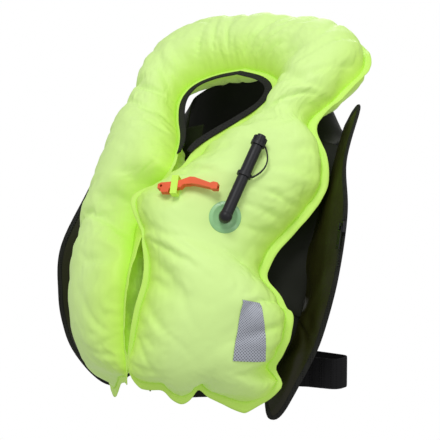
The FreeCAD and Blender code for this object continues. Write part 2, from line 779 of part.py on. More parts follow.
def inflator_body():
    """Moulded body: cross bore for the stem, gas socket below, lugs for the lever in front."""
    size = INFLATOR_SIZE
    body = rounded_box(size, (-size[0] / 2, -size[1] / 2, -size[2] / 2), 3.0)
    body = body.cut(cylinder(5.3, 40, V(-20, 0, 4), V(1, 0, 0)))
    body = body.cut(cylinder(7.0, 16, V(0, 0, -size[2] / 2 - 1)))
    body = body.cut(cylinder(1.5, 6, V(0, 0, -size[2] / 2 + 14)))
    lever_y, lever_z = LEVER_AXIS
    lugs = [Part.makeBox(3.4, 8.0, 9.0, V(x, lever_y - 4.6, lever_z - 4.5)) for x in (-6.6, 3.2)]
    body = body.fuse(lugs).removeSplitter()
    body = body.cut(cylinder(1.6, 20, V(-10, lever_y, lever_z), V(1, 0, 0)))
    return on_inflator(body)


def cap_nut():
    """Nut that clamps the inflator on its stem."""
    nut = cylinder(8.5, 5.5)
    for i in range(8):
        cut = cylinder(1.4, 8, V(9.0, 0, -1))
        cut.rotate(V(0, 0, 0), V(0, 0, 1), 45 * i)
        nut = nut.cut(cut)
    nut = nut.cut(cylinder(5.05, 8, V(0, 0, -1)))
    nut = placed(nut, V(INFLATOR_SIZE[0] / 2 + 0.3, 0, 4), V(1, 0, 0), V(0, 0, 1))
    return on_inflator(nut)


def co2_cylinder():
    """Gas cylinder hung by its neck from the inflator's socket."""
    body = cylinder(GAS_RADIUS, GAS_LENGTH, V(0, 0, -GAS_LENGTH))
    body = body.makeFillet(8.0, [edge for edge in body.Edges if len(edge.Vertexes) == 1])
    gas = body.fuse(cylinder(6.5, 18, V(0, 0, -6))).removeSplitter()
    gas.translate(V(0, 0, -INFLATOR_SIZE[2] / 2 - 1.0))
    return on_inflator(gas)


def firing_lever():
    """Manual firing lever, hinged at the front of the inflator."""
    y, z = LEVER_AXIS
    eye = cylinder(3.2, 5.4, V(-2.7, y, z), V(1, 0, 0))
    arm = Part.makeBox(5.4, 3.2, 34, V(-2.7, y - 1.6, z - 34))
    tip = rounded_box((10.0, 4.0, 9.0), (-5.0, y - 1.6, z - 41), 1.0)
    lever = eye.fuse([arm, tip]).cut(cylinder(1.6, 8, V(-4, y, z), V(1, 0, 0))).removeSplitter()
    return on_inflator(lever)


def lever_pin():
    """Hinge pin of the firing lever."""
    y, z = LEVER_AXIS
    return on_inflator(cylinder(1.55, 14.4, V(-7.2, y, z), V(1, 0, 0)))


def piercing_pin():
    """Pin that the lever drives down into the gas cylinder's seal."""
    return on_inflator(cylinder(1.4, 5.4, V(0, 0, -INFLATOR_SIZE[2] / 2 + 14.6)))


def cartridge_cap():
    """Ribbed cap of the water-sensing cartridge, on top of the inflator."""
    cap = cylinder(11, 16)
    for i in range(12):
        rib = Part.makeBox(1.6, 1.8, 13, V(10.4, -0.9, 1.5))
        rib.rotate(V(0, 0, 0), V(0, 0, 1), 30 * i)
        cap = cap.fuse(rib)
    cap = cap.cut(cylinder(8.2, 13, V(0, 0, -1))).removeSplitter()
    cap.translate(V(0, 0, INFLATOR_SIZE[2] / 2 + 0.5))
    return on_inflator(cap)


def cartridge():
    """The pressed paper cartridge inside the cap."""
    return on_inflator(cylinder(7.6, 10, V(0, 0, INFLATOR_SIZE[2] / 2 + 0.6)))


# ---- build ----------------------------------------------------------------------------------
NODES = {
    "bladder": bladder, "neck_binding": neck_binding, "neck_yoke": neck_yoke,
    "zipper_slider": zipper_slider, "zipper_pull": zipper_pull,
    "belt_webbing": belt_webbing, "belt_lead": belt_lead, "belt_adjuster": belt_adjuster,
    "buckle_female": buckle_female, "buckle_male": buckle_male,
    "oral_flange": oral_flange, "oral_tube": oral_tube, "valve_body": valve_body,
    "valve_poppet": valve_poppet, "valve_spring": valve_spring, "dust_cap": dust_cap,
    "tether_ring": tether_ring, "cap_tether": cap_tether,
    "whistle": whistle, "whistle_keeper": whistle_keeper, "reflective_patch": reflective_patch,
    "manifold": manifold, "inflator_body": inflator_body, "cap_nut": cap_nut,
    "co2_cylinder": co2_cylinder, "firing_lever": firing_lever, "lever_pin": lever_pin,
    "piercing_pin": piercing_pin, "cartridge_cap": cartridge_cap, "cartridge": cartridge,
}
PAIRS = {
    "carrier_panel": carrier_panel, "cover_flap": cover_flap, "edge_tape": edge_tape,
    "zipper_chain": zipper_chain, "belt_loop": belt_loop,
}

for name, make in NODES.items():
    save(name, make())
for name, make in PAIRS.items():
    for hand, side in (("left", 1), ("right", -1)):
        save(name + "_" + hand, make(side))
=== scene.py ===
import json
import math

import bpy
import numpy as np
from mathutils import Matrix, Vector, noise
from mathutils.bvhtree import BVHTree


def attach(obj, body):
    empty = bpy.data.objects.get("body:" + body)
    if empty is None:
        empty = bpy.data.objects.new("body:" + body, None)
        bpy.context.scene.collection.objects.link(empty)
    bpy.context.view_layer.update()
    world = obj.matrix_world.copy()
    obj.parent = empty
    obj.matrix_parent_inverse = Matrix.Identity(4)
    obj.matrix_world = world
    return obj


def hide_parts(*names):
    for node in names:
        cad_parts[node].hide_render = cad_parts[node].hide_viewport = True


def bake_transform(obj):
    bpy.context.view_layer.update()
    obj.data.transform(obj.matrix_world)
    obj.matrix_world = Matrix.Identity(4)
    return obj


# Looks of an inflated life jacket, built round its CAD frame. Metres, +Z up, -Y is the
# wearer's front, +X the wearer's left. Tables are in millimetres and are scaled when used.

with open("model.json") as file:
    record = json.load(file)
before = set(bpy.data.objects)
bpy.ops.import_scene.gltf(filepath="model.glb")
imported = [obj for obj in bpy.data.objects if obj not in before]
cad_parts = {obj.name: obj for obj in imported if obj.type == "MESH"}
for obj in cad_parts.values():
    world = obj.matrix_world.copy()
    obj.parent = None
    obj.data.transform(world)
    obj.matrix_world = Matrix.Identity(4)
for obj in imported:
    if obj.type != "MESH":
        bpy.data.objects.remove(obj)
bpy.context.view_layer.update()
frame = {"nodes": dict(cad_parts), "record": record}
NODES = frame["nodes"]
MM = 0.001
RNG = np.random.default_rng(7)
HANDS = {1: "left", -1: "right"}      # of the wearer


# ---- camera, lights, stage
CAMERA_AZIMUTH, CAMERA_ELEVATION = math.radians(38), math.radians(7)
CAMERA_DISTANCE = 2.2
CAMERA_TARGET = Vector((-0.002, 0.0, -0.138))
CAMERA_LENS = 130.4
SENSOR_WIDTH = 36.0
# Name, place, disc size and power of each lamp.
LAMPS = [
    ("key_lamp", (0.9, -1.9, 2.3), 1.2, 45),
    ("side_lamp", (2.6, -0.4, 0.6), 1.2, 9),
    ("back_lamp", (-1.2, 2.2, 1.4), 1.6, 14),
]
LAMP_AIM = Vector((0.0, 0.0, -0.1))
SKY_STRENGTH = 0.52


def add_object(name, data):
    made = bpy.data.objects.new(name, data)
    bpy.context.scene.collection.objects.link(made)
    return made


def make_camera():
    camera = add_object("camera", bpy.data.cameras.new("camera"))
    flat = math.cos(CAMERA_ELEVATION)
    away = Vector((math.sin(CAMERA_AZIMUTH) * flat, -math.cos(CAMERA_AZIMUTH) * flat,
                   math.sin(CAMERA_ELEVATION)))
    camera.location = CAMERA_TARGET + away * CAMERA_DISTANCE
    camera.rotation_euler = away.to_track_quat("Z", "Y").to_euler()
    camera.data.lens = CAMERA_LENS
    camera.data.sensor_width = SENSOR_WIDTH
    bpy.context.scene.camera = camera


def area_light(name, place, size, power):
    light = add_object(name, bpy.data.lights.new(name, "AREA"))
    light.data.shape = "DISK"
    light.data.size = size
    light.data.energy = power
    light.location = place
    light.rotation_euler = (Vector(place) - LAMP_AIM).to_track_quat("Z", "Y").to_euler()


def make_stage():
    """White studio: soft lamps and an even sky that is brighter to the camera than as a light."""
    for lamp in LAMPS:
        area_light(*lamp)
    world = bpy.data.worlds.new("studio")
    bpy.context.scene.world = world
    world.use_nodes = True
    tree = world.node_tree
    sky = tree.nodes["Background"]
    sky.inputs["Color"].default_value = (1, 1, 1, 1)
    sky.inputs["Strength"].default_value = SKY_STRENGTH
    seen = tree.nodes.new("ShaderNodeBackground")
    seen.inputs["Color"].default_value = (1, 1, 1, 1)
    seen.inputs["Strength"].default_value = 1.0
    path = tree.nodes.new("ShaderNodeLightPath")
    mix = tree.nodes.new("ShaderNodeMixShader")
    tree.links.new(path.outputs["Is Camera Ray"], mix.inputs["Fac"])
    tree.links.new(sky.outputs["Background"], mix.inputs[1])
    tree.links.new(seen.outputs["Background"], mix.inputs[2])
    tree.links.new(mix.outputs["Shader"], tree.nodes["World Output"].inputs["Surface"])
    bpy.context.scene.view_settings.view_transform = "Standard"


# ---- materials
class Shader:
    """Small helper round one node material: everything is driven by object coordinates."""

    def __init__(self, name, color, roughness, **inputs):
        self.material = bpy.data.materials.new(name)
        self.material.use_nodes = True
        self.tree = self.material.node_tree
        self.bsdf = self.tree.nodes["Principled BSDF"]
        self.bsdf.inputs["Roughness"].default_value = roughness
        self.color = color
        self.bsdf.inputs["Base Color"].default_value = (*color, 1)
        for key, value in inputs.items():
            socket = key.replace("_", " ").title().replace("Ior", "IOR")
            self.bsdf.inputs[socket].default_value = value
        self.coords = self.tree.nodes.new("ShaderNodeTexCoord").outputs["Object"]
        self.bumps = []

    def node(self, kind, **settings):
        node = self.tree.nodes.new(kind)
        for key, value in settings.items():
            setattr(node, key, value)
        return node

    def link(self, a, b):
        self.tree.links.new(a, b)

    def texture(self, kind, scale, **settings):
        node = self.node(kind, **settings)
        node.inputs["Scale"].default_value = scale
        self.link(self.coords, node.inputs["Vector"])
        return node

    def noise(self, scale, detail=3.0):
        node = self.texture("ShaderNodeTexNoise", scale)
        node.inputs["Detail"].default_value = detail
        return node.outputs["Fac"]

    def wave(self, direction, scale):
        return self.texture("ShaderNodeTexWave", scale, bands_direction=direction).outputs["Fac"]

    def math(self, operation, a, b):
        node = self.node("ShaderNodeMath", operation=operation)
        for socket, value in zip(node.inputs, (a, b)):
            if isinstance(value, (int, float)):
                socket.default_value = value
            else:
                self.link(value, socket)
        return node.outputs["Value"]

    def weave(self, scale):
        """Crossing threads, the same size on every face whichever way it looks."""
        threads = self.math("MAXIMUM", self.wave("X", scale), self.wave("Z", scale))
        return self.math("MAXIMUM", threads, self.wave("Y", scale))

    def color_between(self, factor, first, second, low, high):
        """Base colour from one colour to another while the factor goes from low to high."""
        ramp = self.node("ShaderNodeValToRGB")
        for stop, place, color in zip(ramp.color_ramp.elements, (low, high), (first, second)):
            stop.position = place
            stop.color = (*color, 1)
        self.link(factor, ramp.inputs["Fac"])
        self.link(ramp.outputs["Color"], self.bsdf.inputs["Base Color"])

    def tones(self, factor, dark, light, low=0.3, high=0.7):
        """Base colour between two shades of the material's own colour."""
        shades = [[min(c * share, 1) for c in self.color] for share in (dark, light)]
        self.color_between(factor, *shades, low, high)

    def vary(self, socket, factor, low, high):
        node = self.node("ShaderNodeMapRange")
        node.inputs["To Min"].default_value = low
        node.inputs["To Max"].default_value = high
        self.link(factor, node.inputs["Value"])
        self.link(node.outputs["Result"], self.bsdf.inputs[socket])

    def bump(self, height, distance, strength=1.0):
        node = self.node("ShaderNodeBump")
        node.inputs["Distance"].default_value = distance
        node.inputs["Strength"].default_value = strength
        self.link(height, node.inputs["Height"])
        if self.bumps:
            self.link(self.bumps[-1].outputs["Normal"], node.inputs["Normal"])
        self.bumps.append(node)
        self.link(node.outputs["Normal"], self.bsdf.inputs["Normal"])


# Bladder lime: the first colour is the fabric with a painted highlight, the deep one is painted
# shade.
LIME = (0.66, 0.90, 0.33)
LIME_PAINTED_SHADE = (0.50, 0.78, 0.12)
LIME_PAINTED_GLOW = (0.40, 0.64, 0.01)
PAINTED_GLOW_AT_WELD, PAINTED_GLOW_AT_CROWN = 0.26, 0.06     # painted glow, emission in place of light through the fabric
PAINTED_SHADE_BELOW, PAINTED_HIGHLIGHT_ABOVE = 0.06, 0.95          # fullness where the painted shade and the painted highlight end
BLADDER_THREAD = 0.0016
DOT_PITCH = 1 / 400                          # of the reflective film, in metres


def bladder_fabric():
    """Coated bladder nylon: deeper green as painted shade in welds and creases, paler as painted
    highlight on crowns.
    """
    made = Shader("bladder_nylon", LIME, 0.40, specular_ior_level=0.14,
                  emission_color=(*LIME_PAINTED_GLOW, 1))
    fullness = made.node("ShaderNodeAttribute", attribute_name="fullness").outputs["Fac"]
    # Painted glow: emission, strongest in the welds.
    made.vary("Emission Strength", made.math("POWER", fullness, 0.45), PAINTED_GLOW_AT_WELD, PAINTED_GLOW_AT_CROWN)
    # Painted shade in the welds and creases, painted highlight on the crowns, with random patches.
    patchy = made.math("MULTIPLY", made.noise(9.0, 4.0), 0.12)
    factor = made.math("ADD", fullness, patchy)
    made.color_between(factor, LIME_PAINTED_SHADE, LIME, PAINTED_SHADE_BELOW, PAINTED_HIGHLIGHT_ABOVE)
    made.vary("Roughness", made.noise(26.0), 0.36, 0.48)
    made.bump(made.noise(55.0, 5.0), 0.0005, 0.3)
    made.bump(made.weave(1 / BLADDER_THREAD), 0.0001, 0.45)
    return made.material


def coated_nylon(name, color, roughness, weave_size, **inputs):
    """Closely woven fabric with a smooth film on it."""
    made = Shader(name, color, roughness, **inputs)
    made.tones(made.noise(9.0, 4.0), 0.95, 1.04)
    made.vary("Roughness", made.noise(26.0), roughness - 0.05, roughness + 0.08)
    made.bump(made.noise(55.0, 5.0), 0.0006, 0.35)
    made.bump(made.weave(1 / weave_size), 0.00012, 0.5)
    return made.material


def webbing_fabric(name, color):
    """Coarse polyester webbing with a ribbed face."""
    made = Shader(name, color, 0.75, specular_ior_level=0.15)
    rib = made.weave(95.0)
    made.tones(rib, 0.6, 1.5, 0.1, 0.9)
    made.bump(rib, 0.0006, 0.8)
    made.bump(made.noise(300.0), 0.0002, 0.5)
    return made.material


def moulded(name, color, roughness, **inputs):
    """Moulded plastic or rubber: faint mottling and a very fine grain."""
    made = Shader(name, color, roughness, **inputs)
    made.tones(made.noise(40.0, 5.0), 0.88, 1.1)
    made.vary("Roughness", made.noise(90.0), roughness - 0.06, roughness + 0.08)
    made.bump(made.noise(900.0, 2.0), 0.00008, 0.5)
    return made.material


def metal(name, color, roughness):
    """Bare or blackened metal, slightly uneven."""
    made = Shader(name, color, roughness, metallic=1.0)
    made.tones(made.noise(70.0), 0.9, 1.05)
    made.vary("Roughness", made.noise(160.0), roughness - 0.06, roughness + 0.1)
    return made.material


def reflective_film():
    """Silver film printed with a diagonal grid of dark dots."""
    made = Shader("reflective_tape", (0.42, 0.44, 0.50), 0.45, metallic=0.25)
    flat = made.node("ShaderNodeUVMap", uv_map="flat")
    turned = made.node("ShaderNodeMapping")
    turned.inputs["Rotation"].default_value = (0, 0, math.radians(45))
    turned.inputs["Scale"].default_value = (1 / DOT_PITCH, 1 / DOT_PITCH, 1)
    made.link(flat.outputs["UV"], turned.inputs["Vector"])
    dots = made.node("ShaderNodeTexVoronoi", voronoi_dimensions="2D")
    dots.inputs["Scale"].default_value = 1.0
    dots.inputs["Randomness"].default_value = 0.0
    made.link(turned.outputs["Vector"], dots.inputs["Vector"])
    made.tones(dots.outputs["Distance"], 0.30, 1.12, 0.26, 0.36)
    return made.material


# Maker and its colour and sizes for each material that needs no nodes of its own.
LOOKS = {
    "carrier_nylon": (coated_nylon, (0.006, 0.007, 0.003), 0.55, 0.0024),
    "cover_nylon": (coated_nylon, (0.015, 0.014, 0.003), 0.34, 0.0022),
    "binding_tape": (webbing_fabric, (0.014, 0.014, 0.013)),
    "webbing": (webbing_fabric, (0.006, 0.006, 0.0065)),
    "zipper_plastic": (moulded, (0.01, 0.01, 0.01), 0.4),
    "black_metal": (metal, (0.05, 0.05, 0.052), 0.35),
    "black_plastic": (moulded, (0.012, 0.012, 0.013), 0.42),
    "flange_film": (moulded, (0.30, 0.60, 0.27), 0.4),
    "tube_rubber": (moulded, (0.013, 0.013, 0.015), 0.45),
    "valve_plastic": (moulded, (0.6, 0.6, 0.58), 0.4),
    "spring_steel": (metal, (0.6, 0.6, 0.62), 0.25),
    "whistle_plastic": (moulded, (0.80, 0.105, 0.018), 0.42),
    "cylinder_steel": (metal, (0.55, 0.56, 0.58), 0.32),
    "lever_plastic": (moulded, (0.75, 0.60, 0.05), 0.35),
    "cartridge_paper": (moulded, (0.70, 0.66, 0.54), 0.8),
}
SHINE = {
    "carrier_nylon": {"specular_ior_level": 0.2}, "cover_nylon": {"specular_ior_level": 0.35},
    "black_plastic": {"specular_ior_level": 0.3}, "tube_rubber": {"specular_ior_level": 0.3},
    "flange_film": {"coat_weight": 0.15},
}


def make_materials():
    made = {"bladder_nylon": bladder_fabric(), "reflective_tape": reflective_film()}
    for name, (maker, *values) in LOOKS.items():
        made[name] = maker(name, *values, **SHINE.get(name, {}))
    return made


# ---- the middle surface that bladder and carrier follow
# Rows: distance along the centre line, its y and z, and how far each half folds back, in degrees.
SPINE = np.array([
    (0, -192, -350, 38), (75, -200, -275, 39), (150, -194, -202, 39), (220, -164, -140, 37),
    (300, -118, -76, 32), (360, -77, -34, 26), (485, 22, 52, 10), (620, 144, 106, 0),
], float)
FOLD_RADIUS = 15.0
# Stations of each half: inner edge (across, along), outer edge (across, along), front bulge.
# An inner edge below 0 laps over the other half.
STATIONS = {
    1: np.array([
        (25, 8, 165, -24, 0), (4, 34, 200, -8, 30), (12, 75, 216, 30, 48), (20, 115, 226, 85, 54),
        (28, 160, 228, 125, 55), (14, 200, 212, 190, 54), (-30, 238, 184, 222, 48),
        (-46, 262, 184, 255, 52), (-20, 294, 198, 300, 56), (12, 322, 210, 345, 56),
        (18, 362, 212, 378, 52), (36, 394, 200, 410, 50), (58, 424, 172, 446, 44),
        (78, 458, 186, 500, 50), (76, 486, 194, 560, 54), (54, 502, 150, 612, 58),
        (18, 507, 60, 632, 58),
    ], float),
    -1: np.array([
        (25, 8, 165, -24, 0), (16, 34, 200, -8, 30), (18, 75, 216, 30, 48), (20, 115, 228, 85, 54),
        (24, 160, 230, 125, 55), (38, 200, 224, 188, 54), (62, 235, 208, 222, 50),
        (66, 262, 206, 255, 52), (50, 296, 208, 300, 54), (14, 326, 212, 345, 56),
        (26, 362, 214, 378, 56), (46, 392, 212, 410, 54), (74, 425, 198, 446, 48),
        (90, 458, 194, 500, 50), (84, 486, 194, 560, 54), (56, 502, 150, 612, 58),
        (18, 507, 60, 632, 58),
    ], float),
}
BACK_SHARE = 0.6          # bulge of the back skin, as a share of the front one
BULGE_POWER = 0.8


def hermite(rows, where):
    """Smooth values of a table's columns, whose first column is the distance, at some distances."""
    where = np.asarray(where, float)
    x, values = rows[:, 0], rows[:, 1:]
    last = len(x) - 1
    low = np.maximum(np.arange(last + 1) - 1, 0)
    high = np.minimum(np.arange(last + 1) + 1, last)
    slopes = (values[high] - values[low]) / (x[high] - x[low])[:, None]
    i = np.clip(np.searchsorted(x, where) - 1, 0, last - 1)
    span = (x[i + 1] - x[i])[..., None]
    t = (where[..., None] - x[i][..., None]) / span
    return ((2 * t ** 3 - 3 * t ** 2 + 1) * values[i] + (t ** 3 - 2 * t ** 2 + t) * span * slopes[i]
            + (3 * t ** 2 - 2 * t ** 3) * values[i + 1] + (t ** 3 - t ** 2) * span * slopes[i + 1])


def middle(side, across, along, back=0.0):
    """Points of one half of the middle surface, in millimetres, moved back by a distance."""
    given = [np.asarray(v, float) for v in (side, across, along, back)]
    side, across, along, back = np.broadcast_arrays(*given)
    here = hermite(SPINE, along)
    step = hermite(SPINE, along + 1)[..., :2] - hermite(SPINE, along - 1)[..., :2]
    step /= np.linalg.norm(step, axis=-1)[..., None]
    zero = np.zeros_like(across)
    normal = np.stack([zero, step[..., 1], -step[..., 0]], -1)
    fold = np.radians(here[..., 2])[..., None]
    hand = np.stack([side, zero, zero], -1)
    sideways = hand * np.cos(fold) + normal * np.sin(fold)
    out = normal * np.cos(fold) - hand * np.sin(fold)
    reach = (np.sign(across) * (np.hypot(across, FOLD_RADIUS) - FOLD_RADIUS))[..., None]
    centre = np.stack([zero, here[..., 0], here[..., 1]], -1)
    return centre + sideways * reach + out * back[..., None]


def mix(first, second, share):
    return first * (1 - share) + second * share


def unit(vectors):
    return vectors / np.maximum(np.linalg.norm(vectors, axis=-1, keepdims=True), 1e-9)


def sections(side, rows):
    """Inner edges, outer edges and backward normals of bladder sections."""
    inner = middle(side, rows[:, 0], rows[:, 1])
    outer = middle(side, rows[:, 2], rows[:, 3])
    centre = (rows[:, 0] + rows[:, 2]) / 2, (rows[:, 1] + rows[:, 3]) / 2
    back = middle(side, *centre, 1.0) - middle(side, *centre)
    chord = unit(outer - inner)
    back = unit(back - chord * (back * chord).sum(-1, keepdims=True))
    return inner, outer, back


NORMAL_STEP = 0.02


def skin_point(place, share):
    """CAD point of the left lobe's front skin, in millimetres, and the outward normal there."""
    def point(p, s):
        table = STATIONS[1]
        index = min(int(p), len(table) - 2)
        row = table[index] + (table[index + 1] - table[index]) * (p - index)
        inner, outer, back = [v[0] for v in sections(1, row[None])]
        height = row[4] * math.sin(math.acos(1 - 2 * s)) ** BULGE_POWER
        return inner + (outer - inner) * s - back * height
    here = point(place, share)
    up = point(place + NORMAL_STEP, share) - here
    sideways = point(place, share + NORMAL_STEP) - here
    return here, unit(np.cross(sideways, up))


# ---- mesh helpers
def new_piece(name, points, faces, material, smooth=True):
    """A mesh object from points in metres."""
    mesh = bpy.data.meshes.new(name)
    mesh.from_pydata([tuple(p) for p in points], [], [tuple(f) for f in faces])
    mesh.validate()
    mesh.update()
    piece = add_object(name, mesh)
    if smooth:
        mesh.polygons.foreach_set("use_smooth", [True] * len(mesh.polygons))
    mesh.materials.append(MATERIALS[material])
    return piece


def apply_modifiers(piece):
    """Turn a piece's modifiers into plain mesh."""
    depsgraph = bpy.context.evaluated_depsgraph_get()
    mesh = bpy.data.meshes.new_from_object(piece.evaluated_get(depsgraph))
    old = piece.data
    piece.modifiers.clear()
    piece.data = mesh
    mesh.name = old.name
    bpy.data.meshes.remove(old)


def grid_faces(rows, columns):
    corners = [i * columns + j for i in range(rows - 1) for j in range(columns - 1)]
    return [(k, k + 1, k + columns + 1, k + columns) for k in corners]


def tube_faces(count, around, closed=False):
    """Faces between rings of points that follow one another, with end caps unless closed."""
    faces = []
    for i in range(count - 1 + closed):
        this, following = i * around, ((i + 1) % count) * around
        for j in range(around):
            k = (j + 1) % around
            faces.append((this + j, this + k, following + k, following + j))
    if not closed:
        faces.append(tuple(reversed(range(around))))
        faces.append(tuple(range((count - 1) * around, count * around)))
    return faces


def thick_grid(name, grid, thickness, material):
    """A thin closed sheet from a grid of points in metres, shape (rows, columns, 3)."""
    rows, columns = grid.shape[:2]
    piece = new_piece(name, grid.reshape(-1, 3), grid_faces(rows, columns), material)
    width, length = cloth_size(grid)
    layer = piece.data.uv_layers.new(name="flat")
    for loop, corner in zip(piece.data.loops, layer.data):
        row, column = divmod(loop.vertex_index, columns)
        corner.uv = (column / (columns - 1) * width, row / (rows - 1) * length)
    solid = piece.modifiers.new("solid", "SOLIDIFY")
    solid.thickness = thickness
    solid.offset = 0.0
    bevel = piece.modifiers.new("bevel", "BEVEL")
    bevel.width = thickness * 0.3
    bevel.segments = 2
    bevel.limit_method = "ANGLE"
    apply_modifiers(piece)
    piece.data.polygons.foreach_set("use_smooth", [True] * len(piece.data.polygons))
    return piece


def swept(name, path, side, normal, width, height, material, power, around=14):
    """A flattened tube along a path: arrays of points, side directions and normals.

    The higher the power, the squarer the section.
    """
    count = len(path)
    width = np.broadcast_to(np.asarray(width, float), (count,))[:, None, None]
    angles = np.linspace(0, 2 * math.pi, around, endpoint=False)
    c, s = np.cos(angles), np.sin(angles)
    x = (np.sign(c) * np.abs(c) ** (2 / power) / 2)[None, :, None]
    y = (np.sign(s) * np.abs(s) ** (2 / power) * height / 2)[None, :, None]
    points = path[:, None] + side[:, None] * x * width + normal[:, None] * y
    return new_piece(name, points.reshape(-1, 3), tube_faces(count, around), material)


def smooth_noise(points, scale, seed):
    """Repeatable noise from -1 to 1 at each point, in metres."""
    shift = Vector((seed * 3.7, seed * 1.3, -seed * 2.1))
    return np.array([noise.noise(Vector(p) * scale + shift) for p in points])


# ---- bladder
GRID_STEP = 4.8           # millimetres between neighbouring points
GRID_ACROSS = 54
OUTER_WELD, BOTTOM_WELD = 11.0, 10.0
FOOT_ROWS = 16            # grid rows over which a foot's scalloped edge fades out
SKIN_INSET = 0.88         # the skin starts slack and pressure fills it out
MOST_MOVE = 7.5 * MM
SIM_FRAMES = 28
# Flat margin between the inner rim and the skin's seam: place along the stations, width.
INNER_WELDS = {
    1: [(0, 8), (8.8, 8), (9.6, 20), (12.4, 22), (13.4, 15), (16, 12)],
    -1: [(0, 8), (8.8, 8), (9.6, 14), (13, 15), (16, 12)],
}
# How far the inner rim reaches inward: the right half's flat web runs behind the left lobe,
# and both rims draw back at the foot of the neck slit. Place along the stations, distance.
INNER_REACH = {
    1: [(8.8, 0), (9.25, -5), (9.9, -4), (10.4, 0)],
    -1: [(2.6, 0), (3.4, 8), (4.2, 18), (5.0, 34), (6.0, 56), (7.0, 60), (8.0, 44), (8.8, 8),
         (9.25, -6), (9.9, -5), (10.4, 0)],
}
# Scalloped weld edge at the foot of each lobe, from the inner corner to the outer one.
FEET = {
    1: [(25, 9), (34, 6), (46, 5), (56, 4), (66, -7), (80, -14), (93, -8), (103, 3),
        (114, -7), (132, -15), (150, -22), (165, -25)],
    -1: [(25, 12), (34, 10), (46, 8), (60, 4), (84, -4), (100, -14), (116, -24), (134, -29),
         (150, -28), (165, -25)],
}
# The right lobe's skin is rounder at the waist than the CAD solid: place, share of its bulge.
ROUNDER = {
    1: [(0, 1), (16, 1)],
    -1: [(4.0, 1.0), (5.5, 1.14), (7.0, 1.20), (8.5, 1.12), (10.0, 1.04), (11.5, 1.0)],
}
# Outer edge above the foot: place along the stations, then how far the edge stands out.
SCALLOPS = {
    1: [(0.0, 0), (0.5, 1), (1.0, 2), (1.35, 8), (1.75, -11), (2.1, -2), (2.6, 3), (3.2, 3),
        (4.2, 2), (5.0, 3), (5.7, -3), (6.4, 2), (7.2, 1), (9.0, 0), (10.0, 2), (11.2, -2),
        (12.0, -5), (12.7, 3), (13.5, 2), (14.6, 2), (16.0, 0)],
    -1: [(0.0, 0), (0.6, -2), (1.1, 2), (1.6, -3), (2.2, 2), (3.2, 2), (4.2, 4), (5.0, 11),
         (6.0, 15), (7.2, 12), (9.0, 6), (10.4, 3), (11.8, 1), (12.6, 2), (14.6, 2), (16.0, 0)],
}


def by_place(tables, place, side):
    """Value at each place from the table of its own side."""
    left, right = np.array(tables[1], float), np.array(tables[-1], float)
    return np.where(side > 0, np.interp(place, left[:, 0], left[:, 1]),
                    np.interp(place, right[:, 0], right[:, 1]))


def bladder_rows():
    """Station rows evenly spaced from the left foot, round the nape, to the right foot."""
    left, right = STATIONS[1], STATIONS[-1]
    count = len(left)
    side = np.repeat([1.0, -1.0], count)
    own = np.vstack([left, right[::-1]])
    centres = middle(side, (own[:, 0] + own[:, 2]) / 2, (own[:, 1] + own[:, 3]) / 2)
    travel = np.concatenate([[0], np.cumsum(np.linalg.norm(np.diff(centres, axis=0), axis=1))])
    nape = (travel[count - 1] + travel[count]) / 2
    signed = own * np.where(np.isin(np.arange(5), (0, 2)), side[:, None], 1.0)
    where = np.linspace(0, travel[-1], int(travel[-1] / GRID_STEP))
    fine = hermite(np.column_stack([travel, signed]), where)
    fine[:, 4] = np.maximum(fine[:, 4], 0)
    side = np.where(where < nape, 1.0, -1.0)
    fine[:, 0] *= side
    fine[:, 2] *= side
    places = np.concatenate([np.arange(count), np.arange(count)[::-1]])
    return fine, np.interp(where, travel, places), side


def row_spans(rows):
    """Width of each row and its direction from the inner to the outer edge."""
    width = np.hypot(rows[:, 2] - rows[:, 0], rows[:, 3] - rows[:, 1])
    return width, (rows[:, 2:4] - rows[:, 0:2]) / width[:, None]


def bladder_grid():
    """Grid of the bladder's skins, in metres.

    Gives the flat base from weld to weld, the bulge's height, the backward directions, the
    inner and outer rims and the rim of each foot.
    """
    rows, place, side = bladder_rows()
    width, direction = row_spans(rows)
    rim_rows = rows.copy()
    rim_rows[:, 2:4] += direction * by_place(SCALLOPS, place, side)[:, None]
    weld_rows = rim_rows.copy()
    weld_rows[:, 0:2] += direction * by_place(INNER_WELDS, place, side)[:, None]
    weld_rows[:, 2:4] -= direction * OUTER_WELD
    rim_rows[:, 0:2] -= direction * by_place(INNER_REACH, place, side)[:, None]
    angles = np.linspace(0, math.pi, GRID_ACROSS)
    share = 0.35 * (1 - np.cos(angles)) / 2 + 0.65 * np.linspace(0, 1, GRID_ACROSS)
    near, far = weld_rows[:, None, 0:2], weld_rows[:, None, 2:4]
    flat = mix(near, far, share[None, :, None])
    inner, outer, back = sections(side, weld_rows)
    base = mix(inner[:, None], outer[:, None], share[None, :, None])
    height = (weld_rows[:, 4] * by_place(ROUNDER, place, side))[:, None]
    height = height * np.sin(np.arccos(1 - 2 * share))[None] ** BULGE_POWER
    # The foot of each lobe follows its own scalloped edge, fading out up the lobe.
    foot_rim = {}
    for hand, foot in FEET.items():
        line = np.array(foot, float)
        travel = np.concatenate([[0], np.cumsum(np.hypot(*np.diff(line, axis=0).T))])
        edge = hermite(np.column_stack([travel, line]), share * travel[-1])
        end = 0 if hand > 0 else -1
        shift = edge + np.array([0.0, BOTTOM_WELD]) - flat[end]
        for k in range(FOOT_ROWS):
            i = k if hand > 0 else len(rows) - 1 - k
            fade = (1 - k / FOOT_ROWS) ** 2
            moved = flat[i] + shift * fade
            base[i] += middle(hand, *moved.T) - middle(hand, *flat[i].T)
        foot_rim[hand] = middle(hand, *edge.T) * MM
    rim_inner = middle(side, rim_rows[:, 0], rim_rows[:, 1])
    rim_outer = middle(side, rim_rows[:, 2], rim_rows[:, 3])
    height = height * (1 - puckers(place, share, width))
    return base * MM, height * MM, back, rim_inner * MM, rim_outer * MM, foot_rim


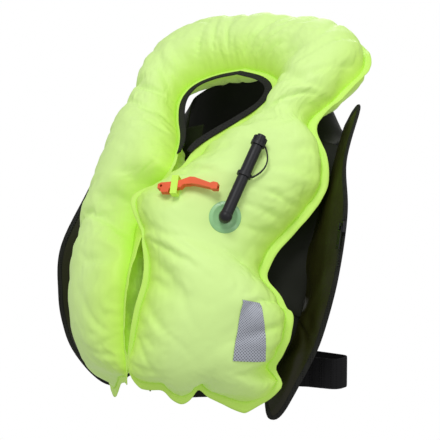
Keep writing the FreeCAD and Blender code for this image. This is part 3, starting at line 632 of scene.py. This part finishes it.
COARSE_CREASE, FINE_CREASE = 0.20, 0.07      # share of the bulge
CREASE_REACH = ((0.055, 1), (0.060, 8))      # metres and noise seed, at the inner and outer weld


def crease_noise(lean, into, scale, depth_scale, seed):
    """Noise over the distance along a weld and the depth in from it, both in metres."""
    return np.array([[noise.noise(Vector((v * scale, seed, w * depth_scale))) for v, w in zip(a, b)]
                     for a, b in zip(lean, into)])


def puckers(place, share, width):
    """Share of the bulge lost in creases that run in from both welds and die away."""
    lost = np.zeros((len(place), len(share)))
    travel = np.arange(len(place)) * GRID_STEP * MM
    for edge, (reach, seed) in zip((share, 1 - share), CREASE_REACH):
        into = edge[None] * width[:, None] * MM
        lean = travel[:, None] + into * 0.25
        coarse = crease_noise(lean, into, 26, 9, seed)
        fine = crease_noise(lean, into, 62, 16, seed + 4)
        crease = np.maximum(1 - np.abs(coarse) * 7, 0) * COARSE_CREASE
        crease = crease + np.maximum(1 - np.abs(fine) * 6, 0) * FINE_CREASE
        lost += crease * np.exp(-(into / reach) ** 2)
    return lost


CLOTH_SETTINGS = {
    "quality": 7, "mass": 0.25, "tension_stiffness": 22, "compression_stiffness": 22,
    "shear_stiffness": 8, "bending_stiffness": 0.12, "air_damping": 3.0,
    "vertex_group_mass": "weld", "shrink_min": -0.065, "use_pressure": True,
    "uniform_pressure_force": 5.0,
}


def pressurise(piece, pinned, frames):
    """Cloth simulation of the two welded skins, slightly oversized, under gas pressure."""
    group = piece.vertex_groups.new(name="weld")
    group.add([int(i) for i in pinned], 1.0, "REPLACE")
    cloth = piece.modifiers.new("cloth", "CLOTH")
    for key, value in CLOTH_SETTINGS.items():
        setattr(cloth.settings, key, value)
    cloth.settings.effector_weights.gravity = 0.0
    cloth.collision_settings.use_collision = False
    cloth.collision_settings.use_self_collision = False
    cloth.point_cache.frame_start = 1
    cloth.point_cache.frame_end = frames
    scene = bpy.context.scene
    for step in range(1, frames + 1):
        scene.frame_set(step)
    apply_modifiers(piece)
    scene.frame_set(1)
    piece.vertex_groups.clear()


# Places where fittings sit on the skin, so it keeps close to the CAD there: point and radius.
FITTINGS = [
    ((107, -132, -113), 34), ((34, -158, -80), 16), ((55, -146, -78), 14),
    ((80, -135, -76), 14), ((150, -138, -250), 24),
]
CALMEST = 0.12


def calm(points):
    """From 1 far away from the fittings down to CALMEST beside them."""
    value = np.ones(len(points))
    for place, radius in FITTINGS:
        gap = np.linalg.norm(points - np.array(place) * MM, axis=1) / (radius * MM)
        rise = np.clip((gap - 0.8) / 1.2, 0, 1) ** 2
        value = np.minimum(value, CALMEST + (1 - CALMEST) * rise)
    return value


SLACK_NOISE = 0.00035     # metres, so that the pressure finds folds to open


def make_bladder():
    """Two skins welded at the rim, blown up and kept near the CAD solid, with their flange."""
    base, height, back, rim_inner, rim_outer, foot_rim = bladder_grid()
    rows, columns = height.shape
    bulge = back[:, None] * height[..., None]
    target, start = [
        np.concatenate([base - bulge * share, base + bulge * (BACK_SHARE * share)]).reshape(-1, 3)
        for share in (1.0, SKIN_INSET)
    ]
    inside = np.zeros((rows, columns), bool)
    inside[1:-1, 1:-1] = True
    number = np.arange(rows * columns).reshape(rows, columns)
    rear_number = np.where(inside, number + rows * columns, number)
    faces = []
    for i in range(rows - 1):
        for j in range(columns - 1):
            ring = ((i, j), (i, j + 1), (i + 1, j + 1), (i + 1, j))
            faces.append([number[corner] for corner in ring])
            faces.append([rear_number[corner] for corner in (ring[0], ring[3], ring[2], ring[1])])
    used = np.concatenate([np.arange(rows * columns), (number + rows * columns)[inside]])
    renumber = np.full(2 * rows * columns, -1)
    renumber[used] = np.arange(len(used))
    faces = renumber[np.array(faces)]
    target, start = target[used], start[used]
    free = np.concatenate([inside.ravel(), inside[inside]])
    start = start + RNG.normal(0, SLACK_NOISE, start.shape) * np.repeat(free[:, None], 3, 1)
    piece = new_piece("bladder_skin", start, faces.tolist(), "bladder_nylon")
    pinned = renumber[number[~inside]]
    pressurise(piece, pinned, SIM_FRAMES)
    co = np.empty(len(target) * 3)
    piece.data.vertices.foreach_get("co", co)
    moved = co.reshape(-1, 3) - target
    size = np.linalg.norm(moved, axis=1, keepdims=True)
    limit = MOST_MOVE * calm(target)[:, None]
    limited = target + moved * (limit * np.tanh(size / limit) / np.maximum(size, 1e-9))
    piece.data.vertices.foreach_set("co", limited.ravel())
    piece.data.update()
    # Fullness for the bladder shader's painted shade, painted highlight and painted glow.
    full = np.sin(np.linspace(0, math.pi, columns))[None] ** 0.5 * np.ones((rows, 1))
    full *= np.clip(height / np.maximum(height.max(axis=1, keepdims=True), 1e-6) * 0.5 + 0.5, 0, 1)
    store_fullness(piece, np.concatenate([full.ravel(), full.ravel()])[used])
    smooth = piece.modifiers.new("subdivision", "SUBSURF")
    smooth.levels = smooth.render_levels = 1
    apply_modifiers(piece)
    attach(piece, "jacket")
    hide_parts("bladder")
    make_weld_flange(base, rim_inner, rim_outer, foot_rim, back)
    return piece


def store_fullness(piece, values):
    """From 0 in the welds to 1 on the crowns, one value a point, from which the bladder's shader
    paints its shade, highlight and glow.
    """
    piece.data.attributes.new("fullness", "FLOAT", "POINT").data.foreach_set("value", values)


FLANGE_OVERLAP = 3.0 * MM                    # how far the flange reaches in under the seam
FLANGE_SHARES = (0.0, 0.3, 0.36, 0.42, 0.7, 1.0)      # from the seam to the rim
FLANGE_HALF = (0.0005, 0.0005, 0.0009, 0.0005, 0.0005, 0.0005)
# Fullness of the flange, for the bladder shader's painted shade and painted glow.
FLANGE_FULLNESS = 0.30


def make_weld_flange(base, rim_inner, rim_outer, foot_rim, back):
    """The flat welded margin outside the bladder's seam, a little wavy at its rim."""
    left_foot, right_foot = foot_rim[1], foot_rim[-1]
    weld = np.concatenate([base[:, -1], base[-1, ::-1][1:-1], base[::-1, 0], base[0, 1:-1]])
    rim = np.concatenate([rim_outer, right_foot[::-1][1:-1], rim_inner[::-1], left_foot[1:-1]])
    normal = np.concatenate([back, np.repeat(back[-1:], base.shape[1] - 2, 0), back[::-1],
                             np.repeat(back[:1], base.shape[1] - 2, 0)])
    for _ in range(2):
        rim = (np.roll(rim, 1, 0) + rim * 2 + np.roll(rim, -1, 0)) / 4
    weld = weld + unit(weld - rim) * FLANGE_OVERLAP
    wave = smooth_noise(rim, 34.0, 2) * 0.0030 + smooth_noise(rim, 80.0, 5) * 0.0014
    right_foot_part = slice(len(rim_outer), len(rim_outer) + len(right_foot) - 2)
    wave[right_foot_part] *= 0.3
    profile = list(zip(FLANGE_SHARES, FLANGE_HALF))
    layers = []
    for sign, run in ((-1, profile), (1, profile[::-1])):
        for share, half in run:
            ripple = wave * share ** 1.5
            layers.append(mix(weld, rim, share) + normal * (ripple + sign * half)[:, None])
    rings = np.stack(layers, 1)
    faces = tube_faces(*rings.shape[:2], closed=True)
    piece = new_piece("bladder_weld_flange", rings.reshape(-1, 3), faces, "bladder_nylon")
    # The wide web at the waist gets less fullness than the narrow flange: deeper painted shade and
    # stronger painted glow.
    web = np.linalg.norm(weld - rim, axis=1) / (40 * MM)
    full = np.clip(FLANGE_FULLNESS - web * 0.25, 0.0, FLANGE_FULLNESS)
    store_fullness(piece, np.repeat(full, rings.shape[1]))
    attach(piece, "jacket")


# ---- neck binding
NECK_START = 9.8          # place along the stations
BINDING_WIDTH, BINDING_THICK = 10.5, 2.4
BINDING_OVERLAP = 3.5     # how far the binding laps over the inner rim


def ease(path, times):
    """Smooth a path, or a grid along its rows, and leave both ends where they are."""
    for _ in range(times):
        path[1:-1] = (path[:-2] + path[1:-1] * 2 + path[2:]) / 4


def tangents(path):
    return unit(np.gradient(path, axis=0))


def make_binding():
    """Tape folded over the inner rim round the neck hole, narrower at both its ends."""
    rows, place, side = bladder_rows()
    keep = place >= NECK_START
    rows, side = rows[keep], side[keep]
    _, direction = row_spans(rows)
    _, _, back = sections(side, rows)
    wide = np.interp(place[keep], (NECK_START, NECK_START + 0.5),
                     (BINDING_WIDTH * 0.7, BINDING_WIDTH))
    centre = rows[:, 0:2] - direction * (wide / 2 - BINDING_OVERLAP)[:, None]
    path = middle(side, *centre.T, -1.5) * MM
    ease(path, 1)
    across = unit(np.cross(tangents(path), back))
    piece = swept("neck_binding_tape", path, across, back, wide * MM, BINDING_THICK * MM,
                  "binding_tape", power=3.5)
    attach(piece, "jacket")
    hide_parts("neck_binding")


# ---- carrier: panels, yoke, opened cover flaps
CARRIER_BACK = 39.8
# Rows: along, inner edge across, outer edge across on the wearer's left and on the right.
PANEL_ROWS = np.array([
    (-16, 82, 190, 200), (25, 60, 222, 262), (85, 56, 240, 280), (150, 56, 243, 282),
    (250, 58, 234, 264), (335, 60, 214, 226), (400, 64, 202, 204), (452, 78, 196, 196),
], float)
YOKE_INNER = 112.0        # across, where the yoke leaves the panel's top end
YOKE_START_TRIM = 12.0
# Behind the neck, from the left panel's top to the nape: inner edge and outer edge.
YOKE_ROWS = np.array([
    (108, 70, 16, 152, 84, -26), (112, 88, 27, 138, 110, -36),
    (88, 108, 45, 108, 136, -40), (40, 116, 53, 50, 148, -38),
], float)
# Outer edges of the two opened cover flaps, one point for each panel row, bottom tip first.
FLAP_EDGES = {
    1: np.array([(130, -52, -398), (160, -44, -340), (180, -38, -300), (195, -35, -260),
                 (214, -33, -190), (218, -20, -110), (202, 2, -45), (198, 46, 30)], float),
    -1: np.array([(-160, -60, -388), (-218, -62, -340), (-238, -64, -300), (-242, -68, -255),
                  (-242, -62, -190), (-222, -25, -110), (-205, 6, -45), (-187, 60, 16)], float),
}
# Bow of each flap across its width, and the size of its soft folds in metres.
FLAP_BOW = {1: 5.0, -1: 0.0}
FLAP_FOLDS = {1: 0.0060, -1: 0.0022}
TAPE_WIDTH, TAPE_THICK = 7.0, 3.0
PANEL_FOLDS, YOKE_FOLDS = 0.0022, 0.0020
PANEL_THICK, FLAP_THICK = 0.0018, 0.0014
SEAM_OVERLAP = 2.0        # how far a panel reaches in under its flap


def numbered(rows, places):
    """Smooth rows at fractional row numbers."""
    return hermite(np.column_stack([np.arange(len(rows)), rows]), places)


def grid_normals(grid):
    down, over = np.gradient(grid, axis=0), np.gradient(grid, axis=1)
    return unit(np.cross(down, over))


def rippled(grid, size, lengthwise, crosswise, seed, calm_edge=False):
    """Push a sheet's grid in and out in long soft folds, in metres."""
    rows, columns = grid.shape[:2]
    u, v = np.meshgrid(np.linspace(0, 1, rows), np.linspace(0, 1, columns), indexing="ij")
    push = np.array([
        noise.noise(Vector((a * lengthwise, b * crosswise, seed)))
        + 0.45 * noise.noise(Vector((a * lengthwise * 2.7, b * crosswise * 2.1, seed + 5)))
        for a, b in zip(u.ravel(), v.ravel())
    ]).reshape(rows, columns)
    if calm_edge:
        push *= 1 - v ** 3
    return grid + grid_normals(grid) * (push * size)[..., None]


def cloth_size(grid):
    """Mean width and length of a sheet's grid, in metres."""
    width = np.linalg.norm(np.diff(grid, axis=1), axis=2).sum(1).mean()
    length = np.linalg.norm(np.diff(grid, axis=0), axis=2).sum(0).mean()
    return float(width), float(length)


def make_panel(side):
    """Fabric panel behind one lobe."""
    places = np.linspace(0, len(PANEL_ROWS) - 1, 76)
    rows = numbered(PANEL_ROWS, places)
    outer = rows[:, 2] if side > 0 else rows[:, 3]
    share = np.linspace(0, 1, 30)
    across = mix(rows[:, 1, None], (outer + SEAM_OVERLAP)[:, None], share)
    grid = middle(side, across, rows[:, 0, None] + 0 * across, CARRIER_BACK) * MM
    grid = rippled(grid, PANEL_FOLDS, 5.0, 2.5, 3 * side)
    name = HANDS[side] + "_carrier_fabric"
    piece = thick_grid(name, grid, PANEL_THICK, "carrier_nylon")
    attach(piece, "jacket")
    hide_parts("carrier_panel_" + HANDS[side])


def flap_grid(side):
    """Points of an opened flap, seam to free edge, with both free corners rounded off."""
    columns = PANEL_ROWS[:, 2] if side > 0 else PANEL_ROWS[:, 3]
    seam_rows = middle(side, columns, PANEL_ROWS[:, 0], CARRIER_BACK)
    places = np.linspace(0, len(columns) - 1, 110)
    seam, edge = numbered(seam_rows, places), numbered(FLAP_EDGES[side], places)
    bottom = np.clip(1 - places / 0.55, 0, 1)
    top = np.clip(1 - (places[-1] - places) / 0.30, 0, 1)
    reach = 1 - 0.30 * (1 - np.sqrt(1 - bottom ** 2)) - 0.10 * (1 - np.sqrt(1 - top ** 2))
    share = np.linspace(-0.03, 1, 34)[None] * reach[:, None]
    grid = seam[:, None] + (edge - seam)[:, None] * share[..., None]
    bow = np.sin(np.clip(share, 0, 1) * math.pi) * FLAP_BOW[side]
    return (grid - grid_normals(grid) * side * bow[..., None]) * MM


def make_flap(side):
    """Opened cover flap and the bound edge round its three free sides."""
    grid = rippled(flap_grid(side), FLAP_FOLDS[side], 5.0, 1.4, 7 * side, calm_edge=True)
    piece = thick_grid(HANDS[side] + "_cover_fabric", grid, FLAP_THICK, "cover_nylon")
    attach(piece, "jacket")
    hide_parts("cover_flap_" + HANDS[side])
    path, facing = [np.concatenate([rows[-1, 2:], rows[::-1, -1][1:-1], rows[0, 2:][::-1]])
                    for rows in (grid, grid_normals(grid))]
    ease(path, 3)
    away = unit(np.cross(tangents(path), facing))
    tape = swept(HANDS[side] + "_bound_edge", path, away, unit(np.cross(away, tangents(path))),
                 TAPE_WIDTH * MM, TAPE_THICK * MM, "binding_tape", power=3.0)
    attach(tape, "jacket")
    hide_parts("edge_tape_" + HANDS[side])


TEETH_FROM, TEETH_TO = 4.15, 4.9             # row numbers of the panel table
TOOTH_PITCH, TOOTH_OFFSET, TOOTH_LIFT = 2.0, 0.7, 2.2
TOOTH_HALF = (0.6, 1.5, 0.8)


def make_teeth(side):
    """Zipper teeth along the straight stretch of a flap's bound edge."""
    grid = flap_grid(side) / MM
    rows = np.linspace(0, len(PANEL_ROWS) - 1, len(grid))
    low, high = [np.array([np.interp(v, rows, grid[:, -1, k]) for k in range(3)])
                 for v in (TEETH_FROM, TEETH_TO)]
    run = unit(high - low)
    facing = grid_normals(grid)[int(len(grid) * 4.5 / 7), -1]
    facing = unit(facing - run * (facing @ run))
    facing = facing if facing[1] < 0 else -facing
    across = np.cross(run, facing)
    corners = np.array([(a, b, c) for a in (-1, 1) for b in (-1, 1) for c in (-1, 1)], float)
    quads = [(0, 1, 3, 2), (4, 6, 7, 5), (0, 4, 5, 1), (2, 3, 7, 6), (0, 2, 6, 4), (1, 5, 7, 3)]
    count = int(np.linalg.norm(high - low) / TOOTH_PITCH)
    points, faces = [], []
    for k in range(count):
        centre = low + (high - low) * (k + 0.5) / count + facing * TOOTH_LIFT
        block = centre + across * (TOOTH_OFFSET * (-1) ** k)
        for axis, way in enumerate((run, across, facing)):
            block = block + corners[:, axis, None] * way * TOOTH_HALF[axis]
        points.append(block)
        faces += [tuple(v + 8 * k for v in quad) for quad in quads]
    piece = new_piece("zipper_teeth_" + HANDS[side], np.concatenate(points) * MM, faces,
                      "zipper_plastic", smooth=False)
    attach(piece, "jacket")
    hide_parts("zipper_chain_" + HANDS[side])


def make_yoke():
    """Dark band behind the neck, from one panel's top round to the other's."""
    last = PANEL_ROWS[-1:]
    ends = [middle(1, across, last[:, 0], CARRIER_BACK)[0]
            for across in (YOKE_INNER, last[:, 2] - YOKE_START_TRIM)]
    rows = np.vstack([np.concatenate(ends), YOKE_ROWS])
    flip = np.array([-1, 1, 1, -1, 1, 1])
    rows = numbered(np.vstack([rows, rows[::-1] * flip]), np.linspace(0, 2 * len(rows) - 1, 90))
    share = np.linspace(0, 1, 16)[None, :, None]
    grid = mix(rows[:, None, 0:3], rows[:, None, 3:6], share) * MM
    ease(grid, 4)
    rippled_grid = rippled(grid, YOKE_FOLDS, 6.0, 1.0, 21)
    piece = thick_grid("yoke_fabric", rippled_grid, PANEL_THICK, "carrier_nylon")
    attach(piece, "jacket")
    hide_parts("neck_yoke")


# ---- waist belt
BELT_HEIGHT, BELT_THICK, BELT_Z = 41.0, 2.0, -330.0
BELT_BEND = 13.0
# Plan of the belt's left half from the buckle to the back, and where its short lead is sewn on.
BELT_FRONT = [(39, -58), (52, -58), (150, -3), (191, 6), (191, 36)]
LEAD_X = 104.0


def rounded_run(corners, radius, step=2.5):
    """Points along straight runs joined by arcs, evenly spaced."""
    points = [np.array(corners[0], float)]
    for before, corner, after in zip(corners, corners[1:], corners[2:]):
        before, corner, after = [np.array(v, float) for v in (before, corner, after)]
        into, away = unit(corner - before), unit(after - corner)
        turn = math.atan2(into[0] * away[1] - into[1] * away[0], float(into @ away))
        cut = radius * math.tan(abs(turn) / 2)
        middle_of_arc = corner - into * cut + np.sign(turn) * radius * np.array([-into[1], into[0]])
        for k in np.linspace(0, 1, 14):
            spin = turn * k
            arm = corner - into * cut - middle_of_arc
            points.append(middle_of_arc + np.array([
                arm[0] * math.cos(spin) - arm[1] * math.sin(spin),
                arm[0] * math.sin(spin) + arm[1] * math.cos(spin)]))
    points.append(np.array(corners[-1], float))
    points = np.array(points)
    travel = np.concatenate([[0], np.cumsum(np.linalg.norm(np.diff(points, axis=0), axis=1))])
    where = np.linspace(0, travel[-1], int(travel[-1] / step))
    return np.column_stack([np.interp(where, travel, points[:, k]) for k in (0, 1)])


def lead_split():
    """Point of the belt's plan where the lead begins."""
    (x0, y0), (x1, y1) = BELT_FRONT[1:3]
    return LEAD_X, y0 + (y1 - y0) * (LEAD_X - x0) / (x1 - x0)


def make_strap(name, corners):
    plan = rounded_run(corners, BELT_BEND)
    path = np.column_stack([plan, np.full(len(plan), BELT_Z)]) * MM
    path[:, 2] += smooth_noise(path, 14.0, 9) * 0.0012
    rise = np.tile([0.0, 0.0, 1.0], (len(path), 1))
    return swept(name, path, rise, unit(np.cross(tangents(path), rise)), BELT_HEIGHT * MM,
                 BELT_THICK * MM, "webbing", power=8.0, around=28)


def make_belt():
    other = [(-x, y) for x, y in reversed(BELT_FRONT)]
    long_run = make_strap("belt_strap", [lead_split()] + BELT_FRONT[2:] + other)
    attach(long_run, "jacket")
    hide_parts("belt_webbing")


def make_lead():
    """Short strap to the sliding buckle half, left outside the jacket body."""
    split = lead_split()
    lead = make_strap("belt_lead_strap", [BELT_FRONT[0], BELT_FRONT[1], split])
    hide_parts("belt_lead")
    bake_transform(lead)


# ---- oral tube's cap strap
TUBE_FOOT = (7.10, 0.63)  # place along the stations, share across the left lobe
TUBE_AXIS = (0.10, 0.52, 0.85)
TUBE_OUTER = 7.5
TUBE_REACH = 101.0
ELBOW_RISE = 15.9         # from the skin to the tube's axis
RING_REACH = 59.3         # from the elbow to the ring, along the tube
STRAP_SIDE = (0.8, 0.6, 0.0)
STRAP_BOW = 10.5
STRAP_WIDTH, STRAP_THICK = 5.0, 1.9


def make_cap_strap():
    """Flat moulded strap bowed out from the ring on the tube to the dust cap."""
    axis = unit(np.array(TUBE_AXIS))
    foot, out = skin_point(*TUBE_FOOT)
    elbow = foot + out * ELBOW_RISE
    side = np.array(STRAP_SIDE)
    side = unit(side - axis * (side @ axis))
    low = elbow + axis * RING_REACH + side * (TUBE_OUTER + 2.4)
    high = elbow + axis * (TUBE_REACH + 3.0) + side * 10.0
    t = np.linspace(0, 1, 30)[:, None]
    path = mix(low, high, t) + side * (4 * t * (1 - t) * STRAP_BOW)
    across = np.tile(np.cross(axis, side), (len(path), 1))
    strap = swept("cap_strap", path * MM, across, unit(np.cross(tangents(path), across)),
                  STRAP_WIDTH * MM, STRAP_THICK * MM, "tube_rubber", power=4.0)
    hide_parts("cap_tether")
    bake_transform(strap)


# ---- pieces that lie on the skin
def skin_tree(skin):
    """Search tree of the skin's faces, and where the skin stands."""
    depsgraph = bpy.context.evaluated_depsgraph_get()
    return BVHTree.FromObject(skin, depsgraph), skin.matrix_world


def laid_on(tree, points, directions, lift):
    """Move points, in metres, along their own directions on to the skin, then lift them off it."""
    skin_faces, world = tree
    found = []
    back = world.inverted()
    for point, direction in zip(points.reshape(-1, 3), directions.reshape(-1, 3)):
        way = Vector(direction).normalized()
        start = back @ (Vector(point) + way * 0.04)
        hit = skin_faces.ray_cast(start, back.to_3x3() @ -way, 0.09)[0]
        found.append(world @ hit + way * lift if hit else Vector(point))
    return np.array([tuple(v) for v in found]).reshape(points.shape)


def softened(grid, times):
    """Smooth a grid's inside without shrinking its rim."""
    for _ in range(times):
        inner = (grid[:-2, 1:-1] + grid[2:, 1:-1] + grid[1:-1, :-2] + grid[1:-1, 2:]) / 4
        grid[1:-1, 1:-1] = (grid[1:-1, 1:-1] + inner) / 2
    return grid


PATCH_THICK, PATCH_REST = 0.0009, 0.0010     # metres; the second is the film's lift off the skin
# Place along the stations, then the shares across the lobe where the patch begins and ends.
PATCH_EDGES = np.array([(4.10, 0.660, 0.785), (3.60, 0.660, 0.810), (3.10, 0.660, 0.835),
                        (2.60, 0.660, 0.858), (2.10, 0.660, 0.880)])


def make_patch(tree):
    rows = numbered(PATCH_EDGES, np.linspace(0, 4, 40))
    found = [[skin_point(p, a + (b - a) * t) for t in np.linspace(0, 1, 16)] for p, a, b in rows]
    points = np.array([[q[0] for q in row] for row in found]) * MM
    outward = np.array([[q[1] for q in row] for row in found])
    outward = unit(np.broadcast_to(outward.mean((0, 1)), outward.shape).copy())
    grid = softened(laid_on(tree, points, outward, PATCH_REST), 6)
    piece = thick_grid("reflective_patch_film", grid, PATCH_THICK, "reflective_tape")
    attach(piece, "jacket")
    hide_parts("reflective_patch")


DISC_SHARE = 0.92         # the film disc is a little smaller than the CAD flange
# Radii of the disc's rings and how far each one stands off the skin.
DISC_RINGS = np.array([0.5, 6, 11, 15.5, 17.0, 18.5, 20, 21.5, 22.5])
DISC_RISE = np.array([0.9, 0.9, 0.9, 0.9, 1.7, 1.7, 0.9, 0.8, 0.3])
DISC_UNDER = 0.0006


def make_flange_disc(tree):
    """Welded film disc under the tube's elbow, with a raised ring near its rim."""
    foot, outward = skin_point(*TUBE_FOOT)
    side = unit(np.cross(outward, np.array([0.0, 0.0, 1.0])))
    up = np.cross(side, outward)
    angles = np.linspace(0, 2 * math.pi, 72, endpoint=False)
    spread = side * np.cos(angles)[:, None] + up * np.sin(angles)[:, None]
    top = (foot + DISC_RINGS[:, None, None] * DISC_SHARE * spread[None]) * MM
    way = np.broadcast_to(outward, top.shape).copy()
    low = laid_on(tree, top, way, 0.0)
    for _ in range(5):
        low[1:-1] = (low[1:-1] * 2 + np.roll(low[1:-1], 1, 1) + np.roll(low[1:-1], -1, 1)) / 4
    top = low + way * (DISC_RISE * MM)[:, None, None]
    under = low - way * DISC_UNDER
    shell = np.concatenate([top, under[::-1]])
    count, around = shell.shape[:2]
    faces = [(i * around + j, (i + 1) * around + j, (i + 1) * around + (j + 1) % around,
              i * around + (j + 1) % around) for i in range(count - 1) for j in range(around)]
    faces += [tuple(range(around)), tuple(reversed(range((count - 1) * around, count * around)))]
    piece = new_piece("oral_tube_weld_disc", shell.reshape(-1, 3), faces, "flange_film")
    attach(piece, "jacket")
    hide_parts("oral_flange")


# ---- assemble
MATERIALS = make_materials()
SLOT_OF = {row["node"]: row["material_slot"] for row in frame["record"]["subparts"]}
for node_name, node in NODES.items():
    node.data.materials.clear()
    node.data.materials.append(MATERIALS[SLOT_OF[node_name]])

make_camera()
make_stage()
skin = make_bladder()
make_binding()
for hand in (1, -1):
    make_panel(hand)
    make_flap(hand)
    make_teeth(hand)
make_yoke()
make_belt()
make_lead()
make_cap_strap()
on_skin = skin_tree(skin)
make_patch(on_skin)
make_flange_disc(on_skin)
